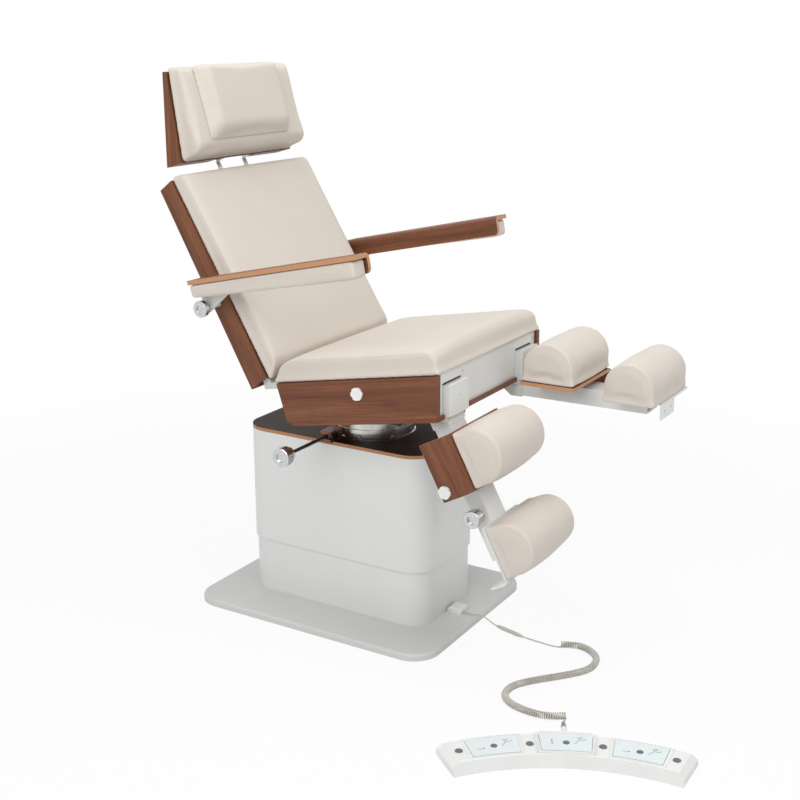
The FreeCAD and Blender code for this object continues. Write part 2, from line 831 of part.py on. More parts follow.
arm_shaft_reach = back_width / 2 + arm_shaft_stand
back_cushion_foot_round = size("back_cushion_foot_round", 32)


hinge_world = seat_frame_place.multVec(Vector(0, hinge_y.value, hinge_z.value))
back_place = turned(0, hinge_world.y, hinge_world.z, -back_lean.value).multiply(
    Placement(Vector(0, -hinge_inset.value, 0), Rotation()))


def make_back_shell():
    """A plywood tray: raked side walls, a rear skin and a top rail, open at the foot."""
    body = new_body("back_shell")
    front_low = back_rear - back_depth_low
    front_high = back_rear - back_depth_high
    outline = polygon(sketch_on(body, "YZ_Plane"), [
        (back_rear, 0), (back_rear, back_length), (front_high, back_length + back_head_rise),
        (front_low, back_foot_rise)])
    pad(body, outline, back_width, "Symmetric")
    room = sketch_on(body, "XZ_Plane", -(back_rear - back_ply))
    rectangle(room, -(back_width / 2 - back_ply), back_width / 2 - back_ply, -back_foot_rise,
              back_length - back_ply)
    pocket(body, room, back_depth_low * 2, "One side", True)
    holes = sketch_on(body, "XY_Plane", back_length + back_head_rise)
    for side in (-1, 1):
        circle(holes, post_x * side, post_y, socket_radius + seating_gap)
    pocket(body, holes, back_ply * 3)
    bores = sketch_on(body, "YZ_Plane")
    circle(bores, arm_pivot_back, arm_pivot_rise, arm_shaft_radius + seating_gap)
    pocket(body, bores)
    seat_on(body, back_place)


def make_back_frame():
    """Two upright rails and two cross rails inside the tray, hinge ears below, post sockets above."""
    rear = back_rear - back_ply - seating_gap
    solids = []
    bores = []
    rail_y = rear - rail_depth
    foot = -hinge_ear_radius
    for side in (-1, 1):
        x = rail_x - rail_width / 2 if side > 0 else -rail_x - rail_width / 2
        solids.append(block(rail_width, rail_depth, back_length * 0.86, x, rail_y, back_foot_rise))
        ear_x = hinge_ear_x if side > 0 else -hinge_ear_x - hinge_ear_thickness
        solids.append(rod(hinge_ear_radius, hinge_ear_thickness, ear_x, hinge_inset, 0, X_AXIS))
        solids.append(block(hinge_ear_thickness, rail_y + rail_depth - hinge_inset,
                            hinge_ear_radius * 2, ear_x, hinge_inset, foot))
        bores.append(rod(hinge_pin_radius + spindle_clearance, hinge_ear_thickness, ear_x,
                         hinge_inset, 0, X_AXIS))
        socket_low = back_length - socket_length
        solids.append(rod(socket_radius, socket_length + back_head_rise, post_x * side, post_y,
                          socket_low))
        bores.append(rod(post_radius + spindle_clearance, socket_length * 2, post_x * side, post_y,
                         socket_low))
    foot_width = hinge_ear_x * 2
    solids.append(block(foot_width, rail_depth, rail_width, -hinge_ear_x, rail_y, foot))
    cross_low = back_length - socket_length
    solids.append(block(rail_x * 2, rail_depth, rail_width * 2, -rail_x, rail_y, cross_low))
    solids.append(rod(arm_shaft_radius, arm_shaft_reach * 2, -arm_shaft_reach, arm_pivot_back,
                      arm_pivot_rise, X_AXIS))
    finish("back_frame", cut(fused(*solids), *bores))
    seat_on(subparts[-1], back_place)


def make_back_cushion():
    front_low = (back_rear - back_depth_low - seating_gap).value
    front_high = (back_rear - back_depth_high - seating_gap).value
    thin, thick = back_cushion_thin.value, back_cushion_thick.value
    low, high = back_cushion_low.value, back_cushion_high.value
    crown, draw = back_cushion_crown.value, back_cushion_draw.value
    small, large = back_cushion_round.value, back_cushion_foot_round.value
    upper = back_cushion_top_round.value
    ends = [(front_low, low + draw, small), (front_high, high - draw, small),
            (-thin, high - draw, upper), (-thick, low + draw, large)]
    middle = [(front_low, low, small), (front_high, high, small), (-thin - crown, high, upper),
              (-thick - crown, low, large)]
    cushion = solid_feature("back_cushion", upholstered(
        ends, middle, (back_width / 2 - seating_gap).value, back_cushion_roll.value))
    seat_on(cushion, back_place)


# Headrest, in a frame on the posts
head_width = size("head_width", 510)
head_low = size("head_low", 14)
head_height = size("head_height", 257)
head_depth_low = size("head_depth_low", 50)
head_depth_high = size("head_depth_high", 12)
head_cushion_depth = size("head_cushion_depth", 46)
head_cushion_rise = size("head_cushion_rise", 20)
head_cushion_crown = size("head_cushion_crown", 4)
head_cushion_roll = size("head_cushion_roll", 10)
pillow_width = size("pillow_width", 370)
pillow_height = size("pillow_height", 225)
pillow_depth = size("pillow_depth", 36)
pillow_slope = size("pillow_slope", 28)
pillow_round = size("pillow_round", 24)
post_reach = size("post_reach", 120)
head_pivot_rise = size("head_pivot_rise", 63.5)
head_pivot_y = size("head_pivot_y", 8.4)
head_pivot_radius = size("head_pivot_radius", 5)
post_top = size("post_top", 48)
yoke_height = size("yoke_height", 22)
head_room_rise = size("head_room_rise", 62)
head_room_front = size("head_room_front", 44)
head_rear_y = size("head_rear_y", 510)
head_low_z = size("head_low_z", 1268)

head_place = turned(0, head_rear_y, head_low_z, 0)
head_lean = (head_depth_low - head_depth_high) / head_height


def make_headrest_shell():
    """A plywood wedge with a hollow back for the post yoke."""
    body = new_body("headrest_shell")
    outline = polygon(sketch_on(body, "YZ_Plane"), [
        (0, 0), (0, head_height), (-head_depth_high, head_height),
        (-head_depth_low, head_low)])
    pad(body, outline, head_width, "Symmetric")
    seat_on(body, head_place)
    room = sketch_on(body, "YZ_Plane")
    reach = post_x + post_radius * 4
    rectangle(room, -head_room_front, post_radius, -head_low, head_room_rise)
    pocket(body, room, reach * 2, "Symmetric")


def front_face(rise):
    """The wedge's front plane at a height above its foot."""
    return head_depth_low - (rise - head_low) * (head_depth_low - head_depth_high) / (
        head_height - head_low)


def make_headrest_cushion():
    gap, crown = seating_gap.value, head_cushion_crown.value
    depth, round_ = head_cushion_depth.value, head_cushion_roll.value + crown
    low = head_low.value + gap
    high = (head_height + head_cushion_rise).value
    back_low = -front_face(low).value - gap
    back_high = -front_face(high).value - gap
    ends = [(back_low, low, round_), (back_high, high, round_), (back_high - depth, high, round_),
            (back_low - depth, low + round_, round_)]
    middle = [(back_low, low, round_), (back_high, high + crown, round_),
              (back_high - depth - crown, high + crown, round_),
              (back_low - depth - crown, low + round_, round_)]
    cushion = solid_feature("headrest_cushion", upholstered(
        ends, middle, head_width.value / 2, head_cushion_roll.value))
    seat_on(cushion, head_place)


def make_head_pillow():
    """The raised pillow on the headrest cushion: a soft frustum, flush at the top."""
    high = (head_height + head_cushion_rise + head_cushion_crown).value
    lean_angle = math.degrees(math.atan((head_depth_low.value - head_depth_high.value)
                                        / (head_height.value - head_low.value)))
    sections = []
    for share, inset_share in ((0.0, 0.0), (0.35, 0.2), (1.0, 1.0)):
        inset = pillow_slope.value * inset_share
        half = pillow_width.value / 2 - inset
        low = -pillow_height.value + inset * 1.3
        corners = [(-half, low, pillow_round.value), (half, low, pillow_round.value),
                   (half, -inset * 0.2, pillow_round.value),
                   (-half, -inset * 0.2, pillow_round.value)]
        sections.append(rounded_outline(corners, in_front(-pillow_depth.value * share)))
    pillow = solid_feature("head_pillow", Part.makeLoft(sections, True, True))
    front = -front_face(high).value - (head_cushion_depth + head_cushion_crown * 1.58
                                       + seating_gap).value
    pillow.Placement = Placement(Vector(0, front, high), Rotation(X_AXIS, -lean_angle))
    seat_on(pillow, head_place)


def make_headrest_posts():
    """Two chromed posts joined by a yoke and a pivot rod inside the wedge."""
    solids = []
    pivot_rise = back_length + head_pivot_rise
    for side in (-1, 1):
        solids.append(rod(post_radius, post_top + post_reach, post_x * side, post_y,
                          back_length - post_reach))
        x = post_x - post_radius if side > 0 else -post_x - post_radius
        solids.append(block(post_radius * 2, post_y - post_radius / 3, yoke_height, x, 0,
                            pivot_rise - yoke_height * 0.8))
    half = post_x + post_radius * 3.9
    solids.append(rod(head_pivot_radius, half * 2, -half, head_pivot_y, pivot_rise, X_AXIS))
    finish("headrest_posts", fused(*solids))
    seat_on(subparts[-1], back_place)


# Armrests, in a frame at the clamp knob with the arm along -y
arm_slope = size("arm_slope", 12.4)
arm_length = size("arm_length", 540)
arm_stand_off = size("arm_stand_off", 44)
arm_width = size("arm_width", 68)
arm_inner = seat_width / 2 + arm_stand_off
arm_outer = arm_inner + arm_width
arm_top = size("arm_top", 82)
arm_wall_height = size("arm_wall_height", 53)
arm_ply = size("arm_ply", 12)
arm_bend = size("arm_bend", 16)
arm_pad_height = size("arm_pad_height", 47)
arm_pad_rear_height = size("arm_pad_rear_height", 36)
arm_pad_inset = size("arm_pad_inset", 6)
arm_pad_round = size("arm_pad_round", 9)
arm_rear = size("arm_rear", -4)
arm_hub_radius = size("arm_hub_radius", 16)
arm_hanger_reach = size("arm_hanger_reach", 84)
arm_hanger_thickness = size("arm_hanger_thickness", 8)
arm_hanger_inset = size("arm_hanger_inset", 2)
arm_knob_radius = size("arm_knob_radius", 23)
arm_knob_length = size("arm_knob_length", 26)
arm_knob_stem = size("arm_knob_stem", 6)

arm_world = back_place.multVec(Vector(0, arm_pivot_back.value, arm_pivot_rise.value))
arm_place = turned(0, arm_world.y, arm_world.z, -arm_slope.value)


def make_armrest_shell(name, side):
    """Bent plywood: an inner wall and a top flange over the pad, with a hanger to the pivot."""
    body = new_body(name)
    outline = polygon(sketch_on(body, "XZ_Plane", -arm_rear), [
        (arm_inner * side, arm_top - arm_wall_height), (arm_inner * side, arm_top),
        (arm_outer * side, arm_top), (arm_outer * side, arm_top - arm_ply),
        ((arm_inner + arm_ply) * side, arm_top - arm_ply),
        ((arm_inner + arm_ply) * side, arm_top - arm_wall_height)])
    pad(body, outline, arm_length)
    inner_edge = both(along(Y_AXIS), lying_at(X_AXIS, arm_inner * side))
    fillet(body, both(inner_edge, lying_at(Z_AXIS, arm_top)), arm_bend)
    end = both(along(X_AXIS), lying_at(Y_AXIS, arm_rear - arm_length))
    fillet(body, both(end, lying_at(Z_AXIS, arm_top - arm_wall_height)), arm_bend)
    seat_on(body, arm_place)


def make_armrest_pad(name, side):
    top = (arm_top - arm_ply - seating_gap).value
    low, rear_low = top - arm_pad_height.value, top - arm_pad_rear_height.value
    front = (arm_rear - arm_length + arm_pad_inset).value
    rear = (arm_rear - seating_gap).value
    round_ = arm_pad_round.value
    inner = (arm_inner + arm_ply + seating_gap).value
    half = (arm_outer.value - inner) / 2
    middle = [(front, low, round_), (rear, rear_low, round_), (rear, top, round_),
              (front, top, round_)]
    ends = [(front + 1, low + 1, round_), (rear - 1, rear_low + 1, round_), (rear - 1, top, round_),
            (front + 1, top, round_)]
    shape = upholstered(ends, middle, half, round_ * 0.7, side * (inner + half))
    seat_on(solid_feature(name, shape), arm_place)


def make_arm_bracket(name, side):
    """The plate under the arm's rear end that turns on the backrest's shaft."""
    near = arm_inner + arm_hanger_inset
    middle = (near + arm_hanger_thickness / 2) * side
    top = arm_top - arm_wall_height - seating_gap / 2
    body = new_body("Hanger", False)
    outline = polygon(sketch_on(body, "YZ_Plane", middle), [
        (arm_hub_radius / 2, 0), (arm_hub_radius / 2, top), (-arm_hanger_reach, top),
        (-arm_hub_radius / 2, -arm_hub_radius * 0.86), (0, -arm_hub_radius / 2)])
    pad(body, outline, arm_hanger_thickness, "Symmetric")
    x = near if side > 0 else -near - arm_hanger_thickness
    eye = rod(arm_hub_radius, arm_hanger_thickness, x, 0, 0, X_AXIS)
    bore = rod(arm_shaft_radius + spindle_clearance, arm_hanger_thickness, x, 0, 0, X_AXIS)
    seat_on(finish(name, cut(fused(body, eye), bore)), arm_place)


def make_arm_knob(name, side):
    make_clamp_knob(name, arm_knob_radius, arm_knob_length, arm_knob_stem)
    x = arm_shaft_reach + seating_gap
    subparts[-1].Placement = Placement(Vector(x.value * side, 0, 0),
                                       Rotation(Z_AXIS, X_AXIS * side))
    seat_on(subparts[-1], arm_place)


# Leg rests, each in a frame at its hinge pin with the leg along -y when level
near_angle = size("near_angle", 62)
far_angle = size("far_angle", -0.5)
near_reach = size("near_reach", 38)
far_reach = size("far_reach", 70)
near_foot_gap = size("near_foot_gap", 94)
far_foot_gap = size("far_foot_gap", 76)
sleeve_wall = size("sleeve_wall", 2.6)
sleeve_low = size("sleeve_low", -43.5)
sleeve_high = size("sleeve_high", 9.5)
sleeve_end = size("sleeve_end", 20)
sleeve_heel = size("sleeve_heel", 75)
sleeve_heel_high = size("sleeve_heel_high", 38)
sleeve_heel_low = size("sleeve_heel_low", 5)
sleeve_turn = size("sleeve_turn", 14)
bar_end = size("bar_end", 390)
bar_start = size("bar_start", -12)
bar_clearance = size("bar_clearance", 0.5)
bar_wall = size("bar_wall", 4)
knob_share = size("knob_share", 0.72)
saddle_share = size("saddle_share", 0.6)
saddle_width = size("saddle_width", 56)
calf_length = size("calf_length", 158)
calf_height = size("calf_height", 114)
calf_base = size("calf_base", 37)
foot_length = size("foot_length", 149)
foot_height = size("foot_height", 113)
foot_base = size("foot_base", 13)
pad_inner = size("pad_inner", 48)
pad_overhang = size("pad_overhang", 9)
pad_outer = seat_width / 2 + pad_overhang
pad_spring = size("pad_spring", 44)
pad_crown = size("pad_crown", 2)
pad_roll = size("pad_roll", 5)
calf_ply = size("calf_ply", 10)
calf_bend = size("calf_bend", 32)
calf_flange_stand = size("calf_flange_stand", 22)
calf_flange_x = seat_width / 2 + calf_flange_stand
calf_flange_drop = size("calf_flange_drop", 92)
foot_plate_thickness = size("foot_plate_thickness", 5)
foot_plate_height = size("foot_plate_height", 40)
foot_plate_width = size("foot_plate_width", 96)
foot_plate_shift = size("foot_plate_shift", 70)
foot_hole_radius = size("foot_hole_radius", 4)
leg_knob_radius = size("leg_knob_radius", 23.5)
leg_knob_length = size("leg_knob_length", 50)
leg_knob_stem = size("leg_knob_stem", 5)

leg_pin_world = seat_frame_place.multVec(Vector(0, leg_pin_y.value, leg_pin_z.value))


def leg_place(angle):
    return turned(0, leg_pin_world.y, leg_pin_world.z, angle.value)


def d_wire(x, start, end, base, height):
    """The pad's section: a flat base, short straight sides and a round top."""
    spring = base + pad_spring.value
    foot_near, near = Vector(x, -start, base), Vector(x, -start, spring)
    foot_far, far = Vector(x, -end, base), Vector(x, -end, spring)
    crest = Vector(x, -(start + end) / 2, base + height)
    return Part.Wire([Part.LineSegment(foot_near, near).toShape(),
                      Part.Arc(near, crest, far).toShape(),
                      Part.LineSegment(far, foot_far).toShape(),
                      Part.LineSegment(foot_far, foot_near).toShape()])


def leg_pad(name, side, start, length, base, height, frame):
    """A D-shaped roll, fuller in the middle, its rims rolled over in short steps."""
    crown, roll = pad_crown.value, pad_roll.value
    inner, outer = pad_inner.value, pad_outer.value
    places = []
    for degrees in (0, 30, 60, 90):
        angle = math.radians(degrees)
        places.append((inner + roll * (1 - math.cos(angle)), crown + roll * (1 - math.sin(angle))))
    places.append(((inner + outer) / 2, 0))
    places += [(inner + outer - x, inset) for x, inset in places[-2::-1]]
    sections = [d_wire(side * x, start + inset, start + length - inset, base, height - inset)
                for x, inset in places]
    seat_on(solid_feature(name, Part.makeLoft(sections, True, True)), frame)


def make_leg_arm(name, side, frame):
    """The tapered sleeve that turns on two stub pins and holds the bar."""
    body = new_body("Sleeve", False)
    middle = (arm_sleeve_inner + arm_sleeve_outer) / 2 * side
    width = arm_sleeve_outer - arm_sleeve_inner
    outline = polygon(sketch_on(body, "YZ_Plane", middle), [
        (sleeve_heel, sleeve_heel_high), (sleeve_heel, sleeve_heel_low),
        (sleeve_turn, sleeve_low), (-sleeve_end, sleeve_low), (-sleeve_end, sleeve_high),
        (-sleeve_turn, sleeve_high)])
    pad(body, outline, width, "Symmetric")
    room = sketch_on(body, "XZ_Plane", sleeve_end)
    low_x, high_x = sorted(((arm_sleeve_inner + sleeve_wall) * side,
                            (arm_sleeve_outer - sleeve_wall) * side), key=number_of)
    rectangle(room, low_x, high_x, sleeve_low + sleeve_wall, sleeve_high - sleeve_wall)
    pocket(body, room, sleeve_end - bar_start)
    pins = []
    reach = leg_ear_thickness + seating_gap * 2
    for edge in (arm_sleeve_inner - reach, arm_sleeve_outer):
        x = edge if side > 0 else -edge - reach
        pins.append(rod(leg_pin_radius, reach, x, 0, 0, X_AXIS))
    seat_on(finish(name, fused(body, *pins)), frame)


def make_leg_rest(word, side, angle, reach, foot_gap):
    frame = leg_place(angle)
    make_leg_arm("leg_arm_" + word, side, frame)
    make_leg_bar("leg_bar_" + word, side, frame)
    make_calf_shell("calf_shell_" + word, side, reach, frame)
    leg_pad("calf_pad_" + word, side, reach.value, calf_length.value,
            (calf_base + seating_gap).value, calf_height.value, frame)
    foot_start = reach + calf_length + foot_gap
    make_foot_bracket("foot_bracket_" + word, side, foot_start, frame)
    leg_pad("foot_pad_" + word, side, foot_start.value, foot_length.value,
            (foot_base + seating_gap).value, foot_height.value, frame)
    make_clamp_knob("leg_knob_" + word, leg_knob_radius, leg_knob_length, leg_knob_stem)
    knob = subparts[-1]
    knob.Placement = Placement(
        Vector(side * (arm_sleeve_outer - sleeve_wall - bar_clearance + seating_gap).value,
               -(reach + calf_length + foot_gap * knob_share).value,
               ((sleeve_low + sleeve_high) / 2).value), Rotation(Z_AXIS, X_AXIS * side))
    seat_on(knob, frame)


def make_leg_bar(name, side, frame):
    """The rectangular tube that carries the calf and foot rests."""
    inset = sleeve_wall + bar_clearance
    near = arm_sleeve_inner + inset
    far = arm_sleeve_outer - inset
    width = far - near
    low = sleeve_low + inset
    high = sleeve_high - inset
    x = near if side > 0 else -far
    length = bar_end - bar_start
    outer = block(width, length, high - low, x, -bar_end, low)
    inner = block(width - bar_wall * 2, length, high - low - bar_wall * 2, x + bar_wall,
                  -bar_end, low + bar_wall)
    seat_on(finish(name, cut(outer, inner)), frame)


def make_calf_shell(name, side, reach, frame):
    """The bent plywood deck under the calf pad: a flange beside the bar, a saddle on it, a cap."""
    body = new_body("Deck", False)
    deck_low = calf_base - calf_ply
    outer, inner = calf_flange_x * side, (calf_flange_x - calf_ply) * side
    outline = polygon(sketch_on(body, "XZ_Plane", reach), [
        (pad_inner * side, deck_low), (pad_inner * side, calf_base), (outer, calf_base),
        (outer, calf_base - calf_flange_drop), (inner, calf_base - calf_flange_drop),
        (inner, deck_low)])
    pad(body, outline, calf_length)
    outer_edge = both(along(Y_AXIS), lying_at(X_AXIS, outer))
    fillet(body, both(outer_edge, lying_at(Z_AXIS, calf_base)), calf_bend)
    inner_edge = both(along(Y_AXIS), lying_at(X_AXIS, inner))
    fillet(body, both(inner_edge, lying_at(Z_AXIS, deck_low)), calf_bend - calf_ply)
    bar_high = sleeve_high - sleeve_wall - bar_clearance + seating_gap
    middle = (arm_sleeve_inner + arm_sleeve_outer) / 2
    saddle_x = middle - saddle_width / 2 if side > 0 else -middle - saddle_width / 2
    saddle_y = -(reach + calf_length * (1 + saddle_share) / 2)
    saddle = block(saddle_width, calf_length * saddle_share, deck_low - bar_high, saddle_x,
                   saddle_y, bar_high)
    cap = fluted_cap()
    cap.Placement = Placement(
        Vector(outer.value, -(reach + calf_length - cap_radius * 1.4).value,
               (calf_base - calf_flange_drop + cap_radius * 0.9).value),
        Rotation(Z_AXIS, X_AXIS * side))
    seat_on(finish(name, joined(fused(body, saddle), cap)), frame)


def make_foot_bracket(name, side, start, frame):
    """The carriage under the foot pad: a saddle on the bar and an end plate with two holes."""
    inset = sleeve_wall + bar_clearance
    bar_high = sleeve_high - inset
    deck = block(foot_plate_width * 2, foot_length, foot_base - bar_high - seating_gap,
                 0, 0, bar_high + seating_gap)
    middle = (arm_sleeve_inner + arm_sleeve_outer) / 2
    low_x = middle - foot_plate_width if side > 0 else -middle - foot_plate_width
    place(deck, low_x, -start - foot_length, bar_high + seating_gap)
    lip_x = middle * side - foot_plate_width / 2 - foot_plate_shift
    lip = block(foot_plate_width, foot_plate_thickness, foot_plate_height, lip_x,
                -start - foot_length - foot_plate_thickness, foot_base - foot_plate_height)
    holes = []
    for share in (-0.25, 0.25):
        x = lip_x + foot_plate_width * (0.5 + share)
        holes.append(rod(foot_hole_radius, foot_plate_thickness * 3, x,
                         -start - foot_length - foot_plate_thickness * 2,
                         foot_base - foot_plate_height / 2, Y_AXIS))
    seat_on(finish(name, cut(fused(deck, lip), *holes)), frame)


# Foot control, in a frame at the centre of its arc with x through its middle
control_x = size("control_x", -1098)
control_y = size("control_y", -1143)
control_turn = size("control_turn", 26.5)
control_spread = size("control_spread", 51)
control_inner = size("control_inner", 600)
control_outer = size("control_outer", 710)
control_slope_inner = size("control_slope_inner", 9)
control_slope_outer = size("control_slope_outer", 13)
control_height = size("control_height", 32)
control_end_bevel = size("control_end_bevel", 14)
control_edge = size("control_edge", 2.5)
control_middle_width = size("control_middle_width", 126)
control_middle_rise = size("control_middle_rise", 3)
control_middle_back = size("control_middle_back", 703)
rocker_spread = size("rocker_spread", 10.6)
rocker_inner = size("rocker_inner", 619)
rocker_outer = size("rocker_outer", 689)
rocker_thickness = size("rocker_thickness", 5)
rocker_depth = size("rocker_depth", 7)
rocker_stand = size("rocker_stand", 1.3)
rocker_gap = size("rocker_gap", 1)
rocker_pivot_radius = size("rocker_pivot_radius", 3)
rocker_dot_radius = size("rocker_dot_radius", 7)
rocker_dot_height = size("rocker_dot_height", 1.2)
button_track = size("button_track", 652)
button_radius = size("button_radius", 9)
button_clearance = size("button_clearance", 0.3)
button_height = size("button_height", 9)
button_stand = size("button_stand", 2.6)
button_bore_depth = size("button_bore_depth", 11)
socket_height = size("socket_height", 7.2)
socket_wide = size("socket_wide", 7)
socket_stand = size("socket_stand", 60)
socket_reach = control_middle_back + socket_stand
relief_length = size("relief_length", 27)
relief_wide = size("relief_wide", 6.5)
relief_narrow = size("relief_narrow", 4.2)
station_share = size("station_share", 0.25)

control_place = Placement(Vector(control_x.value, control_y.value, 0),
                          Rotation(Z_AXIS, control_turn.value))


def ring_sector(inner, outer, low, height, spread, middle=0):
    """A flat piece of a ring, centred at an angle from the x axis."""
    solids = []
    for radius in (outer, inner):
        disc = doc.addObject("Part::Cylinder", "Sector")
        bind(disc, "Radius", radius)
        bind(disc, "Height", height)
        bind(disc, "Angle", spread if radius is outer else 360)
        disc.Placement = Placement(ORIGIN, Rotation(Z_AXIS, middle - number_of(spread) / 2))
        place(disc, 0, 0, low)
        solids.append(disc)
    return cut(*solids)


def on_ring(radius, degrees):
    angle = math.radians(degrees)
    return radius * math.cos(angle), radius * math.sin(angle)


def rocker_lift(index):
    return control_middle_rise if index == 1 else control_middle_rise * 0


def make_control_housing():
    """The curved low housing: sloped walls, a raised middle, rocker wells, button bores and a
    socket for the cord."""
    body = new_body("Housing", False)
    outline = polygon(sketch_on(body, "XZ_Plane"), [
        (control_inner, 0), (control_outer, 0), (control_outer - control_slope_outer, control_height),
        (control_inner + control_slope_inner, control_height)])
    feature = body.newObject("PartDesign::Revolution", "Revolution")
    feature.Profile = outline
    feature.ReferenceAxis = (outline, ["V_Axis"])
    bind(feature, "Angle", control_spread)
    feature.Midplane = True
    doc.recompute()
    chamfer(body, both(lying_at(Z_AXIS, control_height),
                       lambda edge: edge.Curve.TypeId == "Part::GeomLine"), control_end_bevel)
    rims = both(lying_at(Z_AXIS, control_height),
                lambda edge: edge.Curve.TypeId == "Part::GeomCircle")
    fillet(body, rims, control_edge)
    raised_low = control_height - rocker_depth - control_middle_rise
    raised = block(control_middle_back - control_inner - control_slope_inner, control_middle_width,
                   control_height + control_middle_rise - raised_low,
                   control_inner + control_slope_inner, -control_middle_width / 2, raised_low)
    socket = rod(socket_wide, socket_reach - control_middle_back, control_middle_back, 0,
                 socket_height, X_AXIS)
    step = rod(socket_wide, control_slope_outer * 2, control_middle_back - control_slope_outer, 0,
               socket_height, X_AXIS)
    wells = []
    for index, middle in enumerate(rocker_places):
        low = control_height + rocker_lift(index) - rocker_depth
        wells.append(ring_sector(rocker_inner - rocker_gap, rocker_outer + rocker_gap, low,
                                 rocker_depth * 2, rocker_spread + rocker_gap / 6, middle))
    for degrees in button_places:
        x, y = on_ring(button_track, degrees)
        wells.append(rod(button_radius + button_clearance, button_bore_depth * 2, x, y,
                         control_height - button_bore_depth))
    seat_on(finish("foot_control_housing", cut(fused(body, raised, socket, step), *wells)),
            control_place)


def make_rocker(index, middle):
    """A rocker plate on a half-buried pivot across the arc, with a round centre mark."""
    low = control_height + rocker_lift(index) + rocker_stand - rocker_thickness
    plate = ring_sector(rocker_inner, rocker_outer, low, rocker_thickness, rocker_spread)
    pivot = rod(rocker_pivot_radius, rocker_outer - rocker_inner, rocker_inner, 0, low, X_AXIS)
    dot = rod(rocker_dot_radius, rocker_dot_height, button_track, 0, low + rocker_thickness)
    rocker = finish("foot_rocker_%d" % (index + 1), fused(plate, pivot, dot))
    seat_on(rocker, Placement(ORIGIN, Rotation(Z_AXIS, middle)))
    seat_on(rocker, control_place)


def make_button(index, degrees):
    x, y = on_ring(button_track, degrees)
    body = new_body("foot_button_%d" % (index + 1))
    low = control_height + button_stand - button_height
    pad(body, circle(sketch_on(body, "XY_Plane", low), x, y, button_radius), button_height)
    fillet(body, lying_at(Z_AXIS, low + button_height), button_radius / 7)
    seat_on(body, control_place)


def make_cord_relief():
    cone = doc.addObject("Part::Cone", "Relief")
    bind(cone, "Radius1", relief_wide)
    bind(cone, "Radius2", relief_narrow)
    bind(cone, "Height", relief_length)
    cone.Placement = Placement(ORIGIN, Rotation(Z_AXIS, X_AXIS))
    place(cone, socket_reach, 0, socket_height)
    seat_on(finish("cord_relief", joined(cone)), control_place)


# Cord: a straight lead from the column, an inline connector and a curly lead to the foot control
wire_radius = size("wire_radius", 2)
connector_radius = size("connector_radius", 5.5)
connector_nose = size("connector_nose", 16)
connector_tip_share = size("connector_tip_share", 0.62)
curl_radius = size("curl_radius", 7.2)
curl_wire_radius = size("curl_wire_radius", 2.7)
curl_height = size("curl_height", 10.2)
curl_count = size("curl_count", 60)

lead_route = [(-10, -305.2, 24), (-8, -325, 24.2), (0, -361, 25.4), (1, -384, 13.5), (-2, -402, 6.4),
              (-5, -414, 5.8)]
connector_ends = [(-5, -414, 5.8), (-27, -503, 5.8)]
curly_lead = [(-27, -503, 5.8), (-29, -530, 4.4), (-28, -568, 3.1), (-31, -598, 3.0)]
curl_route = [(-23, -618), (3, -661), (-21, -715), (-55, -740), (-113, -744), (-170, -705),
              (-247, -635), (-301, -602), (-353, -607), (-384, -644), (-394, -705), (-387, -752),
              (-362, -785)]


def tube_between_bends(points, radius):
    """A round tube of straight runs with a tangent arc at each corner; returns length and bends."""
    corners = [Vector(*point) for point in points]
    edges, bends = [], []
    start = corners[0]
    for before, here, after in zip(corners, corners[1:], corners[2:]):
        back, ahead = (before - here), (after - here)
        half = (math.pi - back.getAngle(ahead)) / 2
        bend = 0.45 * min(back.Length, ahead.Length) / math.tan(half)
        bends.append(bend)
        reach = bend * math.tan(half)
        back.normalize()
        ahead.normalize()
        enter, leave = here + back * reach, here + ahead * reach
        inward = (back + ahead).normalize()
        middle = here + inward * (bend / math.cos(half) - bend)
        edges.append(Part.LineSegment(start, enter).toShape())
        edges.append(Part.Arc(enter, middle, leave).toShape())
        start = leave
    edges.append(Part.LineSegment(start, corners[-1]).toShape())
    path = Part.Wire(edges)
    profile = Part.Wire(Part.Circle(corners[0], corners[1] - corners[0], radius).toShape())
    return swept(path, profile), path.Length, bends


def swept(path, profile):
    sweep = Part.BRepOffsetAPI.MakePipeShell(path)
    sweep.add(profile)
    sweep.build()
    sweep.makeSolid()
    return sweep.shape()


def make_straight_cord():
    tube, length, bends = tube_between_bends(lead_route, wire_radius.value)
    expected = math.pi * wire_radius.value ** 2 * length
    print("straight cord: length %.0f mm, least bend radius %.1f mm, volume over section %.4f"
          % (length, min(bends), tube.Volume / expected))
    solid_feature("cord_straight", tube)


def make_connector():
    """The inline connector, narrower at both noses."""
    start, end = Vector(*connector_ends[0]), Vector(*connector_ends[1])
    length = (end - start).Length
    body = new_body("inline_connector")
    tip = connector_radius * connector_tip_share
    outline = polygon(sketch_on(body, "XZ_Plane"), [
        (0, 0), (tip, 0), (connector_radius, connector_nose), (connector_radius,
                                                               length - connector_nose.value),
        (tip, length), (0, length)])
    revolve(body, outline)
    body.Placement = Placement(start, Rotation(Z_AXIS, end - start))


def smooth_route(points):
    """A quadratic spline with the route's points as its control points."""
    curve = Part.BSplineCurve()
    spans = len(points) - 2
    knots = [float(index) for index in range(spans + 1)]
    counts = [3] + [1] * (spans - 1) + [3]
    curve.buildFromPolesMultsKnots(points, counts, knots, False, 2)
    return curve


def curl_point(curve, total, turns, turn):
    """The wire's centre after some turns of the left-handed helix along the route."""
    length = total * min(max(turn / turns, 0), 1)
    at = curve.parameterAtDistance(length, curve.FirstParameter)
    centre, direction = curve.value(at), Vector(*curve.tangent(at)[0])
    sideways = Z_AXIS.cross(direction).normalize()
    angle = math.pi - 2 * math.pi * turn
    reach = curl_radius.value
    return centre + sideways * (reach * math.cos(angle)) + Z_AXIS * (reach * math.sin(angle))


